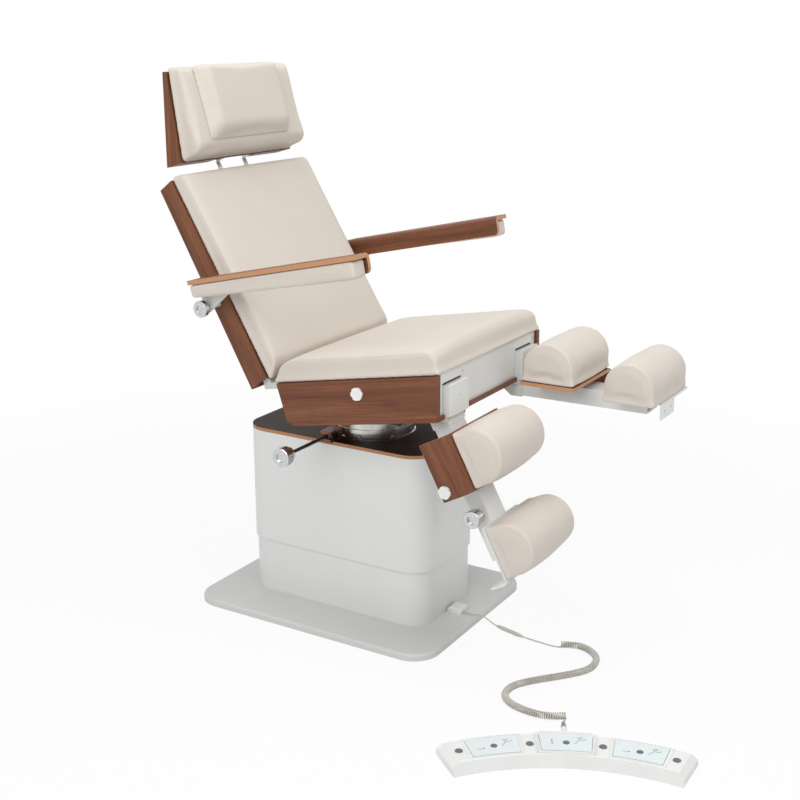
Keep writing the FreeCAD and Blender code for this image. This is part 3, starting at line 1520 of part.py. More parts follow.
def arc_leaving(start, direction, end):
    """An arc from a point in a direction to another point, or a line where they agree."""
    chord = end - start
    away = direction.getAngle(chord)
    if away < 1e-6:
        return Part.LineSegment(start, end).toShape()
    unit = Vector(chord).normalize()
    outward = (direction - unit * direction.dot(unit)).normalize()
    middle = (start + end) / 2 + outward * (chord.Length / 2 * math.tan(away / 2))
    return Part.Arc(start, middle, end).toShape()


def biarc(start, leaving, end, arriving):
    """Two arcs that join two points with given directions."""
    gap = end - start
    bend = 2 * (1 - leaving.dot(arriving))
    slope = gap.dot(leaving + arriving)
    if bend < 1e-9:
        reach = gap.dot(gap) / (2 * slope)
    else:
        reach = (math.sqrt(slope * slope + bend * gap.dot(gap)) - slope) / bend
    joint = (start + end + (leaving - arriving) * reach) / 2
    across_joint = (end - arriving * reach - start - leaving * reach).normalize()
    return [arc_leaving(start, leaving, joint), arc_leaving(joint, across_joint, end)]


def make_curly_cord():
    """One unbroken wire: a lead from the connector, the curls and a short end in the relief."""
    curve = smooth_route([Vector(x, y, curl_height.value) for x, y in curl_route])
    total = curve.length()
    turns = curl_count.value + 0.75
    nudge = 1e-4
    stations = []
    lead = [Vector(*point) for point in curly_lead]
    lead_curve = smooth_route(lead)
    first = (lead[1] - lead[0]).normalize()
    stations.append((lead[0], first))
    stations.append((lead[0] + first * curl_wire_radius.value * 2, first))
    for share in (0.35, 0.68, 1.0):
        at = lead_curve.parameterAtDistance(lead_curve.length() * share, 0)
        stations.append((lead_curve.value(at), Vector(*lead_curve.tangent(at)[0])))
    steps = [index / 2 for index in range(int(curl_count.value) * 2 + 2)] + [turns]
    for turn in steps:
        here = curl_point(curve, total, turns, turn)
        low, high = max(turn - nudge, 0), min(turn + nudge, turns)
        change = (curl_point(curve, total, turns, high) - curl_point(curve, total, turns, low))
        stations.append((here, change.normalize()))
    mouth = control_place.multVec(Vector((socket_reach + relief_length).value, 0,
                                         socket_height.value * 0.6))
    inward = control_place.Rotation.multVec(-X_AXIS)
    stations.append((mouth - inward * curl_wire_radius.value * 2, inward))
    stations.append((mouth, inward))
    edges = []
    for (start, leaving), (end, arriving) in zip(stations, stations[1:]):
        if leaving.getAngle(arriving) < 1e-6 and leaving.getAngle(end - start) < 1e-6:
            edges.append(Part.LineSegment(start, end).toShape())
        else:
            edges += biarc(start, leaving, end, arriving)
    path = Part.Wire(edges)
    radii = [edge.Curve.Radius for edge in edges if edge.Curve.TypeId == "Part::GeomCircle"]
    profile = Part.Wire(Part.Circle(lead[0], first, curl_wire_radius.value).toShape())
    tube = swept(path, profile)
    gap = least_gap(edges, curl_wire_radius.value)
    expected = math.pi * curl_wire_radius.value ** 2 * path.Length
    print("curly cord: wire %.0f mm, route %.0f mm, least bend radius %.1f mm, least gap %.2f mm, "
          "volume over section %.4f" % (path.Length, total, min(radii), gap,
                                        tube.Volume / expected))
    solid_feature("cord_curly", tube)


def least_gap(edges, radius):
    """The least distance between the wire's surfaces of neighbouring curls, on points."""
    points = []
    travelled = []
    done = 0
    for edge in edges:
        pieces = max(2, int(edge.Length / 2.5))
        for point in edge.discretize(pieces + 1)[:-1]:
            points.append(point)
            travelled.append(done)
            done += edge.Length / pieces
    skip = math.pi * radius * 2
    best = (1e9, None)
    for index, point in enumerate(points):
        for other in range(index + 1, len(points)):
            along_wire = travelled[other] - travelled[index]
            if along_wire > skip * 12:
                break
            if along_wire > skip:
                best = min(best, (point.distanceToPoint(points[other]), index))
    return best[0] - radius * 2


rocker_places = (-15, 0, 15)
button_places = (-22.5, -7.5, 7.5, 22.5)

make_base_plate()
make_column_covers()
make_top_panel()
make_lift_mast()
make_gland_cover()
make_turntable_ring()
make_turntable_disc()
brake_pin_x = make_brake_bracket()
make_brake_lever(brake_pin_x)
make_tilt_bracket()
make_side_board("seat_board_right", -1)
make_side_board("seat_board_left", 1)
make_bottom_panel()
make_front_panel()
make_seat_frame()
make_screw_caps()
make_seat_cushion()
make_back_shell()
make_back_frame()
make_back_cushion()
make_headrest_posts()
make_headrest_shell()
make_headrest_cushion()
make_head_pillow()
for word, side in (("right", -1), ("left", 1)):
    make_armrest_shell("armrest_shell_" + word, side)
    make_armrest_pad("armrest_pad_" + word, side)
    make_arm_bracket("arm_bracket_" + word, side)
    make_arm_knob("arm_knob_" + word, side)
make_leg_rest("right", -1, near_angle, near_reach, near_foot_gap)
make_leg_rest("left", 1, far_angle, far_reach, far_foot_gap)
make_control_housing()
for index, middle in enumerate(rocker_places):
    make_rocker(index, middle)
for index, degrees in enumerate(button_places):
    make_button(index, degrees)
make_cord_relief()
make_straight_cord()
make_connector()
make_curly_cord()

doc.recompute()
faults = [item.Label for item in doc.Objects if "Invalid" in item.State or "Error" in item.State]
faults += [part.Label for part in subparts if part.Shape.isNull() or not part.Shape.isValid()]
if faults:
    raise RuntimeError("these objects failed: " + ", ".join(faults))
for part in subparts:
    part.Shape.exportStep("parts/%s.step" % part.Label)
print("%d sub-parts" % len(subparts))
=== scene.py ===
import math
import bmesh
import bpy
from mathutils import Matrix, Vector


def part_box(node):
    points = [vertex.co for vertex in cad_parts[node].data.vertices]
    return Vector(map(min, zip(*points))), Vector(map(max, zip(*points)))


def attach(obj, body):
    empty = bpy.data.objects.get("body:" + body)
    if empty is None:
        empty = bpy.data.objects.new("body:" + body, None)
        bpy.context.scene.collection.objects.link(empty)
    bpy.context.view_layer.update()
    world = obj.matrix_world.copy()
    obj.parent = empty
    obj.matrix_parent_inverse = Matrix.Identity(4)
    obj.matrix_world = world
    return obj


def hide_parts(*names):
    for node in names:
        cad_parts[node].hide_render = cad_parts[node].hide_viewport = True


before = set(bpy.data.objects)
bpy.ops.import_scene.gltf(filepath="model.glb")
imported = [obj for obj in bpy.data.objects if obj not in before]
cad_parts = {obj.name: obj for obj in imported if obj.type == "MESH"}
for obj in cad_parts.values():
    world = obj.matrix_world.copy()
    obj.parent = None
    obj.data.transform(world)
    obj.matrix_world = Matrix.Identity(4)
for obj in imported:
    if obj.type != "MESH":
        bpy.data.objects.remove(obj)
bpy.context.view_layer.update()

MM = 0.001


def hinge_frame(y, z, degrees):
    """The frame of a part that leans about a line across the chair."""
    return Matrix.Translation((0, y * MM, z * MM)) @ Matrix.Rotation(math.radians(degrees), 4, "X")


FLOOR = Matrix.Identity(4)
SEAT = hinge_frame(-100, 612, -10.3)
BACK = hinge_frame(155.04, 715.07, -29.2)
ARM = hinge_frame(310.176, 914.762, -12.4)
HEAD = hinge_frame(510, 1268, 0)
LEG = {"right": hinge_frame(-368.674, 682.78, 62), "left": hinge_frame(-368.674, 682.78, -0.5)}
SIDE = {"right": -1, "left": 1}
CONTROL = Matrix.Translation((-1.098, -1.143, 0)) @ Matrix.Rotation(math.radians(26.5), 4, "Z")


# Camera at the photograph's angle, in metres, with its lens in millimetres
CAMERA_PLACE = Vector((-2.9702, -1.8779, 1.6514))
CAMERA_AIM = Vector((0.0363, -0.0656, 0.6131))
CAMERA_LENS = 57.338
SENSOR_WIDTH = 36
VIEW_END = 60


def stand_camera():
    camera = bpy.data.objects.new("camera", bpy.data.cameras.new("camera"))
    bpy.context.scene.collection.objects.link(camera)
    camera.location = CAMERA_PLACE
    aim = CAMERA_AIM - CAMERA_PLACE
    camera.rotation_euler = aim.to_track_quat("-Z", "Y").to_euler()
    camera.data.lens = CAMERA_LENS
    camera.data.sensor_width = SENSOR_WIDTH
    camera.data.clip_end = VIEW_END
    bpy.context.scene.camera = camera


# Cords: a straight lead, an inline connector and a curly lead to the foot control
LEAD_ROUTE = [(-10, -305.2, 24), (-8, -325, 24.2), (0, -361, 25.4), (1, -384, 13.5),
              (-2, -402, 6.4), (-5, -414, 5.8)]
LEAD_RADIUS = 2
CURLY_LEAD = [(-27, -503, 5.8), (-29, -530, 4.4), (-28, -568, 3.1), (-31, -598, 2.9)]
CURL_ROUTE = [(-23, -618), (3, -661), (-21, -715), (-55, -740), (-113, -744), (-170, -705),
              (-247, -635), (-301, -602), (-353, -607), (-384, -644), (-394, -705), (-387, -752),
              (-362, -785)]
CURL_TURNS = 116
CURL_RADIUS = 7.8
CURL_WIRE = 2.1
CURL_STEPS = 12
CURL_STAND = 2.6
BOOT_MOUTH = (796, 790)
MOUTH_HEIGHT = 4.3


def smooth_line(name, points, radius=0, steps=4):
    """A smooth cord through its route, in millimetres, as a curve object."""
    curve = bpy.data.curves.new(name, "CURVE")
    curve.dimensions = "3D"
    spline = curve.splines.new("NURBS")
    spline.points.add(len(points) - 1)
    for point, place in zip(spline.points, points):
        point.co = (*[value * MM for value in place], 1)
    spline.order_u = 3
    spline.use_endpoint_u = True
    curve.resolution_u = steps
    curve.bevel_depth = radius * MM
    curve.bevel_resolution = 2
    curve.use_fill_caps = radius > 0
    line = bpy.data.objects.new(name, curve)
    bpy.context.scene.collection.objects.link(line)
    return line


def route_points(points, steps):
    """The points of the smooth line that a route gives."""
    line = smooth_line("route", points, 0, steps)
    bpy.context.view_layer.update()
    mesh = bpy.data.meshes.new_from_object(line)
    found = [vertex.co / MM for vertex in mesh.vertices]
    bpy.data.objects.remove(line)
    return found


def curls():
    """Helix points round the curly cord's route, evenly along it."""
    centre = route_points([(x, y, CURL_STAND + CURL_RADIUS) for x, y in CURL_ROUTE], 40)
    gone = [0]
    for start, end in zip(centre, centre[1:]):
        gone.append(gone[-1] + (end - start).length)
    count = CURL_TURNS * CURL_STEPS
    points, piece = [], 0
    for index in range(count + 1):
        reach = gone[-1] * index / count
        while piece < len(centre) - 2 and gone[piece + 1] < reach:
            piece += 1
        start, end = centre[piece], centre[piece + 1]
        ahead = (end - start).normalized()
        here = start + ahead * (reach - gone[piece])
        angle = -math.pi / 2 - 2 * math.pi * index / CURL_STEPS
        sideways = Vector((0, 0, 1)).cross(ahead)
        points.append(here + (sideways * math.cos(angle) + Vector((0, 0, math.sin(angle))))
                      * CURL_RADIUS)
    return points


def lay_cords():
    lead = smooth_line("straight_lead", LEAD_ROUTE, LEAD_RADIUS, 12)
    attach(lead, "base")
    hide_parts("cord_straight")
    mouth = [CONTROL @ Vector((x * MM, 0, MOUTH_HEIGHT * MM)) / MM for x in BOOT_MOUTH]
    curly = smooth_line("curly_lead", [*CURLY_LEAD, *curls(), *mouth], CURL_WIRE, 2)
    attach(curly, "base")
    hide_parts("cord_curly")
    for cord in (lead, curly):
        cord.data.materials.append(cord_sheath())


# Finishes
def tone(red, green, blue):
    """A colour from its values out of 255, in the linear values that shaders take."""
    return tuple(((value / 255 + 0.055) / 1.055) ** 2.4 for value in (red, green, blue)) + (1,)


class Shade:
    """A value over a surface, with arithmetic."""

    def __init__(self, finish, socket):
        self.finish = finish
        self.socket = socket

    def _sum(self, operation, *values):
        inputs = dict(enumerate(values))
        return self.finish.node("ShaderNodeMath", {"operation": operation}, inputs)

    def __add__(self, other):
        return self._sum("ADD", self, other)

    def __sub__(self, other):
        return self._sum("SUBTRACT", self, other)

    def __mul__(self, other):
        return self._sum("MULTIPLY", self, other)

    def __gt__(self, edge):
        return self._sum("GREATER_THAN", self, edge)

    def __lt__(self, edge):
        return self._sum("LESS_THAN", self, edge)

    def __or__(self, other):
        return self._sum("MAXIMUM", self, other)

    def __and__(self, other):
        return self._sum("MULTIPLY", self, other)

    def __abs__(self):
        return self._sum("ABSOLUTE", self)

    def wave(self, length):
        """Ridges that repeat after a length in metres."""
        return self._sum("SINE", self * (2 * math.pi / length))

    def rise(self, low, high):
        """A smooth step from 0 to 1."""
        return self.finish.node("ShaderNodeMapRange", {"interpolation_type": "SMOOTHSTEP"},
                                {"Value": self, "From Min": low, "From Max": high})

    __radd__ = __add__
    __rmul__ = __mul__


class Finish:
    """A material: constants on its shader, and nodes for what varies."""

    def __init__(self, name, colour, **constants):
        self.material = bpy.data.materials.new(name)
        self.material.use_nodes = True
        self.tree = self.material.node_tree
        self.shader = self.tree.nodes["Principled BSDF"]
        self.shader.inputs["Base Color"].default_value = colour
        for socket, value in constants.items():
            self.shader.inputs[socket.replace("_", " ")].default_value = value

    def node(self, kind, settings=None, inputs=None, output=0):
        made = self.tree.nodes.new(kind)
        for key, value in (settings or {}).items():
            if key == "stops":
                ramp = made.color_ramp.elements
                while len(ramp) < len(value):
                    ramp.new(0.5)
                for stop, (place, colour) in zip(ramp, value):
                    stop.position, stop.color = place, colour
            else:
                setattr(made, key, value)
        for key, value in (inputs or {}).items():
            if isinstance(value, Shade):
                self.tree.links.new(value.socket, made.inputs[key])
            else:
                made.inputs[key].default_value = value
        return Shade(self, made.outputs[output])

    def vary(self, socket, value):
        self.tree.links.new(value.socket, self.shader.inputs[socket])

    def place(self, at, direction=False):
        """Object coordinates, or the surface's direction, in a part's own frame."""
        source = self.node("ShaderNodeTexCoord", output="Normal" if direction else "Object")
        kind = "VECTOR" if direction else "POINT"
        inverse = at.inverted()
        inputs = {"Vector": source, "Rotation": inverse.to_euler()}
        if not direction:
            inputs["Location"] = inverse.translation
        return self.node("ShaderNodeMapping", {"vector_type": kind}, inputs)

    def stretch(self, vector, x, y, z):
        return self.node("ShaderNodeMapping", None, {"Vector": vector, "Scale": (x, y, z)})

    def axis(self, vector, index):
        return self.node("ShaderNodeSeparateXYZ", None, {0: vector}, index)

    def length(self, vector):
        return self.node("ShaderNodeVectorMath", {"operation": "LENGTH"}, {0: vector}, "Value")

    def noise(self, vector, scale, detail=2.0, roughness=0.5, distortion=0.0):
        return self.node("ShaderNodeTexNoise", None, {
            "Vector": vector, "Scale": scale, "Detail": detail, "Roughness": roughness,
            "Distortion": distortion})

    def ramp(self, value, *stops):
        return self.node("ShaderNodeValToRGB", {"stops": stops}, {"Fac": value})

    def mix(self, share, first, second):
        """One colour fading into another, on the colour mixer's own sockets."""
        inputs = {0: share, 6: first, 7: second}
        return self.node("ShaderNodeMix", {"data_type": "RGBA"}, inputs, 2)

    def bump(self, height, depth, strength=1.0, over=None):
        """Relief of a depth in metres, on top of other relief."""
        inputs = {"Height": height, "Distance": depth, "Strength": strength}
        if over is not None:
            inputs["Normal"] = over
        relief = self.node("ShaderNodeBump", None, inputs)
        self.vary("Normal", relief)
        return relief


def faded(colour, share):
    return tuple(value * share for value in colour[:3]) + (1,)


finishes = {}
FRAMES = {"seat": SEAT, "back": BACK, "arm": ARM, "head": HEAD, "leg_right": LEG["right"],
          "leg_left": LEG["left"]}


def shared(make):
    """Keeps one material for each name."""
    def keep(*words):
        key = (make.__name__, *words)
        if key not in finishes:
            finishes[key] = make(*words)
        return finishes[key]
    return keep


@shared
def upholstery():
    """Pale artificial leather: fine pebbled grain, soft mottling, satin sheen."""
    hide = tone(210, 201, 191)
    finish = Finish("upholstery", hide, Roughness=0.52, Specular_IOR_Level=0.42)
    here = finish.place(FLOOR)
    cloud = finish.noise(here, 7, 3)
    finish.vary("Base Color", finish.ramp(cloud, (0.25, tone(208, 199, 189)),
                                          (0.75, tone(212, 203, 193))))
    finish.vary("Roughness", finish.noise(here, 26, 3) * 0.12 + 0.47)
    pebble = finish.node("ShaderNodeTexVoronoi", {"feature": "SMOOTH_F1"},
                         {"Vector": here, "Scale": 620.0, "Smoothness": 0.6})
    drape = finish.bump(finish.noise(here, 14, 2), 0.0025, 0.3)
    finish.bump(pebble + finish.noise(here, 300, 3) * 0.6, 0.00016, 0.5, drape)
    return finish.material


def paint(name, colour, gloss, speck=0.00004):
    """Stove enamel: an even colour with orange-peel relief and faint handling marks."""
    finish = Finish(name, colour, Roughness=gloss, Coat_Weight=0.12, Coat_Roughness=0.2)
    here = finish.place(FLOOR)
    film = finish.noise(here, 5, 4, 0.6)
    finish.vary("Base Color", finish.ramp(film, (0.3, faded(colour, 0.975)), (0.7, colour)))
    finish.vary("Roughness", finish.noise(here, 18, 5, 0.65) * 0.16 + (gloss - 0.08))
    finish.bump(finish.noise(here, 420, 2), speck, 0.6)
    return finish


@shared
def white_paint():
    return paint("white_paint", tone(226, 227, 225), 0.36).material


@shared
def base_paint():
    return paint("base_paint", tone(209, 209, 207), 0.5, 0.00008).material


@shared
def frame_paint():
    return paint("frame_paint", tone(206, 207, 206), 0.42).material


def walnut_figure(finish, here, along, dark, middle, light):
    """Bands, streaks and pores that run along one axis; returns colour and height."""
    def grain(across, lengthwise, detail, distortion):
        scale = [across] * 3
        scale[along] = lengthwise
        return finish.noise(finish.stretch(here, *scale), 1, detail, 0.55, distortion)

    bands = grain(26, 1.6, 3, 1.1)
    streaks = grain(190, 4, 4, 0.4)
    pores = grain(900, 26, 2, 0)
    figure = bands * 0.58 + streaks * 0.42
    colour = finish.ramp(figure, (0.3, dark), (0.5, middle), (0.72, light))
    shade = pores.rise(0.56, 0.68)
    return finish.mix(shade * 0.5, colour, faded(dark, 0.7)), streaks * 0.6 - shade


# Where plywood parts show cut edges or carry white parts, in metres in each part's own frame
ARM_REACH = 0.4113
ARM_UNDERSIDE = 0.0294
DECK_INNER_EDGE = 0.0486
DECK_UNDERSIDE = -0.0544
DECK_CAP = 0.3224
SADDLE_INNER = 0.1798
SADDLE_OUTER = 0.2362
SADDLE_TOP = 0.0268


@shared
def walnut(name, at, along, edges):
    """Oiled walnut veneer on plywood, whose layers show on the cut edges of some parts."""
    finish = Finish("walnut_" + name, tone(114, 68, 44), Roughness=0.45,
                    Specular_IOR_Level=0.35)
    at = FRAMES[at]
    here = finish.place(at)
    x, y, z = (finish.axis(here, index) for index in range(3))
    facing = [abs(finish.axis(finish.place(at, True), index)) for index in range(3)]
    colour, relief = walnut_figure(finish, here, along, tone(84, 46, 28), tone(114, 68, 44),
                                   tone(140, 91, 62))
    cut_edge, across = {
        "board": (facing[0] < -1, x),
        "tray": (facing[1] > 2, y),
        "arm": ((facing[1] > 0.7) | (abs(x) > ARM_REACH) | (z < ARM_UNDERSIDE), z),
        "deck": ((facing[1] > 0.7) | (abs(x) < DECK_INNER_EDGE) | (z < DECK_UNDERSIDE), z),
    }[edges]
    layers = across.wave(0.0016) * 0.5 + 0.5
    ply = finish.mix(layers, tone(176, 124, 88), tone(205, 156, 117))
    finish.vary("Base Color", finish.mix(cut_edge, colour, ply))
    finish.vary("Roughness", finish.noise(here, 30, 3) * 0.14 + 0.4)
    finish.bump(relief, 0.00012, 0.5)
    if edges == "deck":
        cap = abs(x) > DECK_CAP
        saddle = (abs(x) > SADDLE_INNER) & (abs(x) < SADDLE_OUTER) & (z < SADDLE_TOP)
        colour = finish.mix(cut_edge, colour, ply)
        finish.vary("Base Color", finish.mix(cap | saddle, colour, tone(228, 229, 227)))
    return finish.material


@shared
def dark_walnut():
    """The column's top panel: near-black stained veneer with a pale ply edge."""
    finish = Finish("dark_walnut", tone(60, 42, 34), Roughness=0.55, Specular_IOR_Level=0.25)
    here = finish.place(FLOOR)
    colour, relief = walnut_figure(finish, here, 1, tone(30, 16, 10), tone(45, 27, 18),
                                   tone(66, 42, 28))
    edge = finish.axis(finish.place(FLOOR, True), 2) < 0.5
    layers = finish.axis(here, 2).wave(0.0025) * 0.5 + 0.5
    ply = finish.mix(layers, tone(160, 108, 76), tone(196, 146, 108))
    finish.vary("Base Color", finish.mix(edge, colour, ply))
    finish.vary("Roughness", finish.noise(here, 24, 3) * 0.12 + 0.5)
    finish.bump(relief, 0.0001, 0.5)
    return finish.material


@shared
def turned_steel():
    """Bright steel, turned: fine rings round the swivel axis."""
    finish = Finish("turned_steel", tone(205, 203, 198), Metallic=1.0, Roughness=0.24)
    here = finish.place(FLOOR)
    rings = finish.noise(finish.stretch(here, 2, 2, 1500), 1, 2)
    reach = finish.length(finish.stretch(here, 1, 1, 0))
    grooves = reach.wave(0.0011)
    finish.vary("Base Color", finish.ramp(finish.noise(here, 22, 4), (0.3, tone(176, 173, 168)),
                                          (0.7, tone(212, 210, 206))))
    finish.vary("Roughness", rings * 0.16 + 0.16)
    finish.bump(rings + grooves * 0.2, 0.00005, 0.4)
    return finish.material


@shared
def plain_steel():
    finish = Finish("plain_steel", tone(196, 195, 192), Metallic=1.0, Roughness=0.3)
    here = finish.place(FLOOR)
    finish.vary("Roughness", finish.noise(here, 60, 4) * 0.2 + 0.2)
    finish.vary("Base Color", finish.ramp(finish.noise(here, 35, 3), (0.3, tone(176, 175, 172)),
                                          (0.7, tone(206, 205, 202))))
    finish.bump(finish.noise(here, 700, 2), 0.00003, 0.5)
    return finish.material


@shared
def knob_chrome_painted_ring_shade(name):
    """Chrome with turned rings on the knob's face, about the knob's own axis; the rings carry
    painted shade.
    """
    low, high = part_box(name)
    finish = Finish("chrome_" + name, tone(214, 214, 214), Metallic=1.0, Roughness=0.13)
    here = finish.place(Matrix.Translation((low + high) / 2))
    reach = finish.length(finish.stretch(here, 0, 1, 1))
    rings = reach.wave(0.0052).rise(0.2, 0.9)
    # Painted shade and reflection: the rings darken the chrome's base colour towards grey; the
    # bump below gives the real grooves.
    finish.vary("Base Color", finish.mix(rings * 0.55, tone(216, 216, 216), tone(120, 120, 122)))
    finish.vary("Roughness", finish.noise(here, 90, 3) * 0.14 + 0.08)
    finish.bump(rings, 0.0004, 0.6)
    return finish.material


@shared
def copper_clamp():
    finish = Finish("copper_clamp", tone(134, 84, 70), Metallic=0.85, Roughness=0.4)
    here = finish.place(FLOOR)
    film = finish.noise(here, 55, 5, 0.7)
    finish.vary("Base Color", finish.ramp(film, (0.35, tone(92, 54, 46)),
                                          (0.7, tone(158, 104, 88))))
    finish.vary("Roughness", film * 0.3 + 0.22)
    finish.bump(film, 0.0002, 0.4)
    return finish.material


@shared
def dark_metal():
    finish = Finish("dark_metal", tone(62, 54, 52), Metallic=0.8, Roughness=0.35)
    here = finish.place(FLOOR)
    film = finish.noise(here, 80, 4)
    finish.vary("Base Color", finish.ramp(film, (0.3, tone(48, 42, 41)), (0.7, tone(84, 76, 74))))
    finish.vary("Roughness", film * 0.2 + 0.26)
    finish.bump(finish.noise(here, 500, 2), 0.00004, 0.5)
    return finish.material


@shared
def control_plastic():
    """Fine-sparked moulded plastic."""
    shell = tone(230, 231, 229)
    finish = Finish("control_plastic", shell, Roughness=0.42, Specular_IOR_Level=0.45)
    here = finish.place(FLOOR)
    finish.vary("Base Color", finish.ramp(finish.noise(here, 16, 4), (0.3, faded(shell, 0.96)),
                                          (0.7, shell)))
    finish.vary("Roughness", finish.noise(here, 60, 3) * 0.12 + 0.36)
    finish.bump(finish.noise(here, 1400, 2), 0.00005, 0.5)
    return finish.material


@shared
def rocker_plastic():
    """The rocker plates' cooler plastic."""
    plate = tone(222, 231, 232)
    finish = Finish("rocker_plastic", plate, Roughness=0.34)
    here = finish.place(FLOOR)
    film = finish.noise(here, 24, 4)
    finish.vary("Base Color", finish.ramp(film, (0.3, faded(plate, 0.96)), (0.7, plate)))
    finish.vary("Roughness", film * 0.12 + 0.28)
    finish.bump(finish.noise(here, 900, 2), 0.00004, 0.4)
    return finish.material


@shared
def button_rubber():
    finish = Finish("button_rubber", tone(96, 106, 106), Roughness=0.62)
    here = finish.place(FLOOR)
    film = finish.noise(here, 240, 3)
    finish.vary("Base Color", finish.ramp(film, (0.3, tone(84, 94, 95)),
                                          (0.7, tone(108, 117, 117))))
    finish.vary("Roughness", film * 0.2 + 0.5)
    finish.bump(finish.noise(here, 1100, 2), 0.00008, 0.6)
    return finish.material


@shared
def print_grey():
    finish = Finish("print_grey", tone(110, 119, 124), Roughness=0.5)
    here = finish.place(FLOOR)
    finish.vary("Base Color", finish.ramp(finish.noise(here, 300, 2), (0.3, tone(98, 108, 114)),
                                          (0.7, tone(124, 133, 137))))
    finish.vary("Roughness", finish.noise(here, 400, 2) * 0.1 + 0.45)
    return finish.material


@shared
def cord_sheath():
    finish = Finish("cord_sheath", tone(196, 192, 182), Roughness=0.5)
    here = finish.place(FLOOR)
    film = finish.noise(here, 40, 4)
    finish.vary("Base Color", finish.ramp(film, (0.3, tone(184, 180, 169)),
                                          (0.7, tone(203, 200, 191))))
    finish.vary("Roughness", film * 0.16 + 0.42)
    finish.bump(finish.noise(here, 900, 2), 0.00006, 0.5)
    return finish.material


@shared
def relief_rubber():
    finish = Finish("relief_rubber", tone(138, 140, 138), Roughness=0.6)
    here = finish.place(FLOOR)
    film = finish.noise(here, 120, 3)
    finish.vary("Base Color", finish.ramp(film, (0.3, tone(124, 126, 125)),
                                          (0.7, tone(150, 152, 150))))
    finish.vary("Roughness", film * 0.16 + 0.5)
    finish.bump(finish.noise(here, 900, 2), 0.00006, 0.5)
    return finish.material


@shared
def cap_plastic():
    finish = Finish("cap_plastic", tone(240, 240, 238), Roughness=0.34)
    here = finish.place(FLOOR)
    film = finish.noise(here, 60, 4)
    finish.vary("Base Color", finish.ramp(film, (0.3, tone(231, 231, 229)),
                                          (0.7, tone(243, 243, 241))))
    finish.vary("Roughness", film * 0.12 + 0.28)
    finish.bump(finish.noise(here, 800, 2), 0.00005, 0.4)
    return finish.material


def finish_cad_parts():
    """Gives every carried-over part its finish."""
    dressed = {
        "base_plate": base_paint(), "lower_shell": white_paint(), "upper_shell": white_paint(),
        "gland_cover": white_paint(), "column_top_panel": dark_walnut(),
        "lift_mast": frame_paint(), "turntable_ring": turned_steel(),
        "turntable_disc": turned_steel(), "tilt_bracket": dark_metal(),
        "brake_bracket": copper_clamp(), "brake_rod": dark_metal(),
        "brake_knob": knob_chrome_painted_ring_shade("brake_knob"), "seat_front_panel": white_paint(),
        "seat_frame": frame_paint(), "seat_screw_caps": cap_plastic(),
        "seat_bottom_panel": walnut("bottom", "seat", 1, "tray"),
        "back_shell": walnut("back", "back", 2, "tray"), "back_frame": frame_paint(),
        "headrest_posts": plain_steel(), "headrest_shell": walnut("head", "head", 2, "tray"),
        "foot_control_housing": control_plastic(), "cord_relief": relief_rubber(),
        "inline_connector": cord_sheath()}
    for word in SIDE:
        dressed["seat_board_" + word] = walnut("board", "seat", 1, "board")
        dressed["armrest_shell_" + word] = walnut("arm", "arm", 1, "arm")
        dressed["calf_shell_" + word] = walnut("deck_" + word, "leg_" + word, 1, "deck")
        for part in ("arm_bracket_", "leg_arm_", "leg_bar_", "foot_bracket_"):
            dressed[part + word] = white_paint()
        for part in ("arm_knob_", "leg_knob_"):
            dressed[part + word] = knob_chrome_painted_ring_shade(part + word)
    for number in range(1, 5):
        dressed["foot_button_%d" % number] = button_rubber()
    for number in range(1, 4):
        dressed["foot_rocker_%d" % number] = rocker_plastic()
    for name, material in dressed.items():
        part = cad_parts[name]
        part.data.materials.clear()
        part.data.materials.append(material)


# Upholstery: each pad swells from its solid or from a drawn block, then gets its seams.
# Lengths are in metres above the pad's resting side.
SMOOTH_ROUNDS = 3
FOOT_FADE = 0.025
CLOTH_PRESSURE = 4.0
CLOTH_FRAMES = 20
EVEN_ROUNDS = 10
HELD_BELOW = 0.003
HELD_FADE = 0.014


def mesh_piece(name, mesh):
    piece = bpy.data.objects.new(name, mesh)
    bpy.context.scene.collection.objects.link(piece)
    return piece


def resting_side(mesh):
    """The direction and height of the widest flat side, on which the pad rests."""
    areas = {}
    for face in mesh.polygons:
        key = tuple(round(value, 2) for value in face.normal)
        area, normal = areas.get(key, (0, face.normal))
        areas[key] = (area + face.area, normal)
    area, normal = max(areas.values(), key=lambda found: found[0])
    normal = normal.copy()
    return normal, max(vertex.co.dot(normal) for vertex in mesh.vertices)


def cushion(outline, half, roll):
    """A pad drawn across the chair from its side outline of (y, z, rounding), in millimetres."""
    shape = bmesh.new()
    rim = [shape.verts.new((-half * MM, y * MM, z * MM)) for y, z, _ in outline]
    made = bmesh.ops.extrude_face_region(shape, geom=[shape.faces.new(rim)])
    moved = [item for item in made["geom"] if isinstance(item, bmesh.types.BMVert)]
    bmesh.ops.translate(shape, verts=moved, vec=(2 * half * MM, 0, 0))
    for y, z, rounding in outline:
        corner = Vector((y * MM, z * MM))
        edge = [edge for edge in shape.edges if edge.calc_length() > half * MM
                and all((vertex.co.yz - corner).length < 0.0001 for vertex in edge.verts)]
        bmesh.ops.bevel(shape, geom=edge, affect="EDGES", offset=rounding * MM, segments=6,
                        profile=0.5, material=-1)
    rims = [edge for edge in shape.edges if abs(abs(edge.verts[0].co.x) - half * MM) < 0.0001
            and abs(edge.verts[0].co.x - edge.verts[1].co.x) < 0.0001]
    bmesh.ops.bevel(shape, geom=rims, affect="EDGES", offset=roll * MM, segments=3, profile=0.5,
                    material=-1)
    return shape


# The pillow's face and back as half width, how far out, bottom and top, in millimetres
PILLOW_FACE = (158, -36, 38, 216)
PILLOW_BACK = (190, 0, 0, 222)
PILLOW_ROUNDING = 15


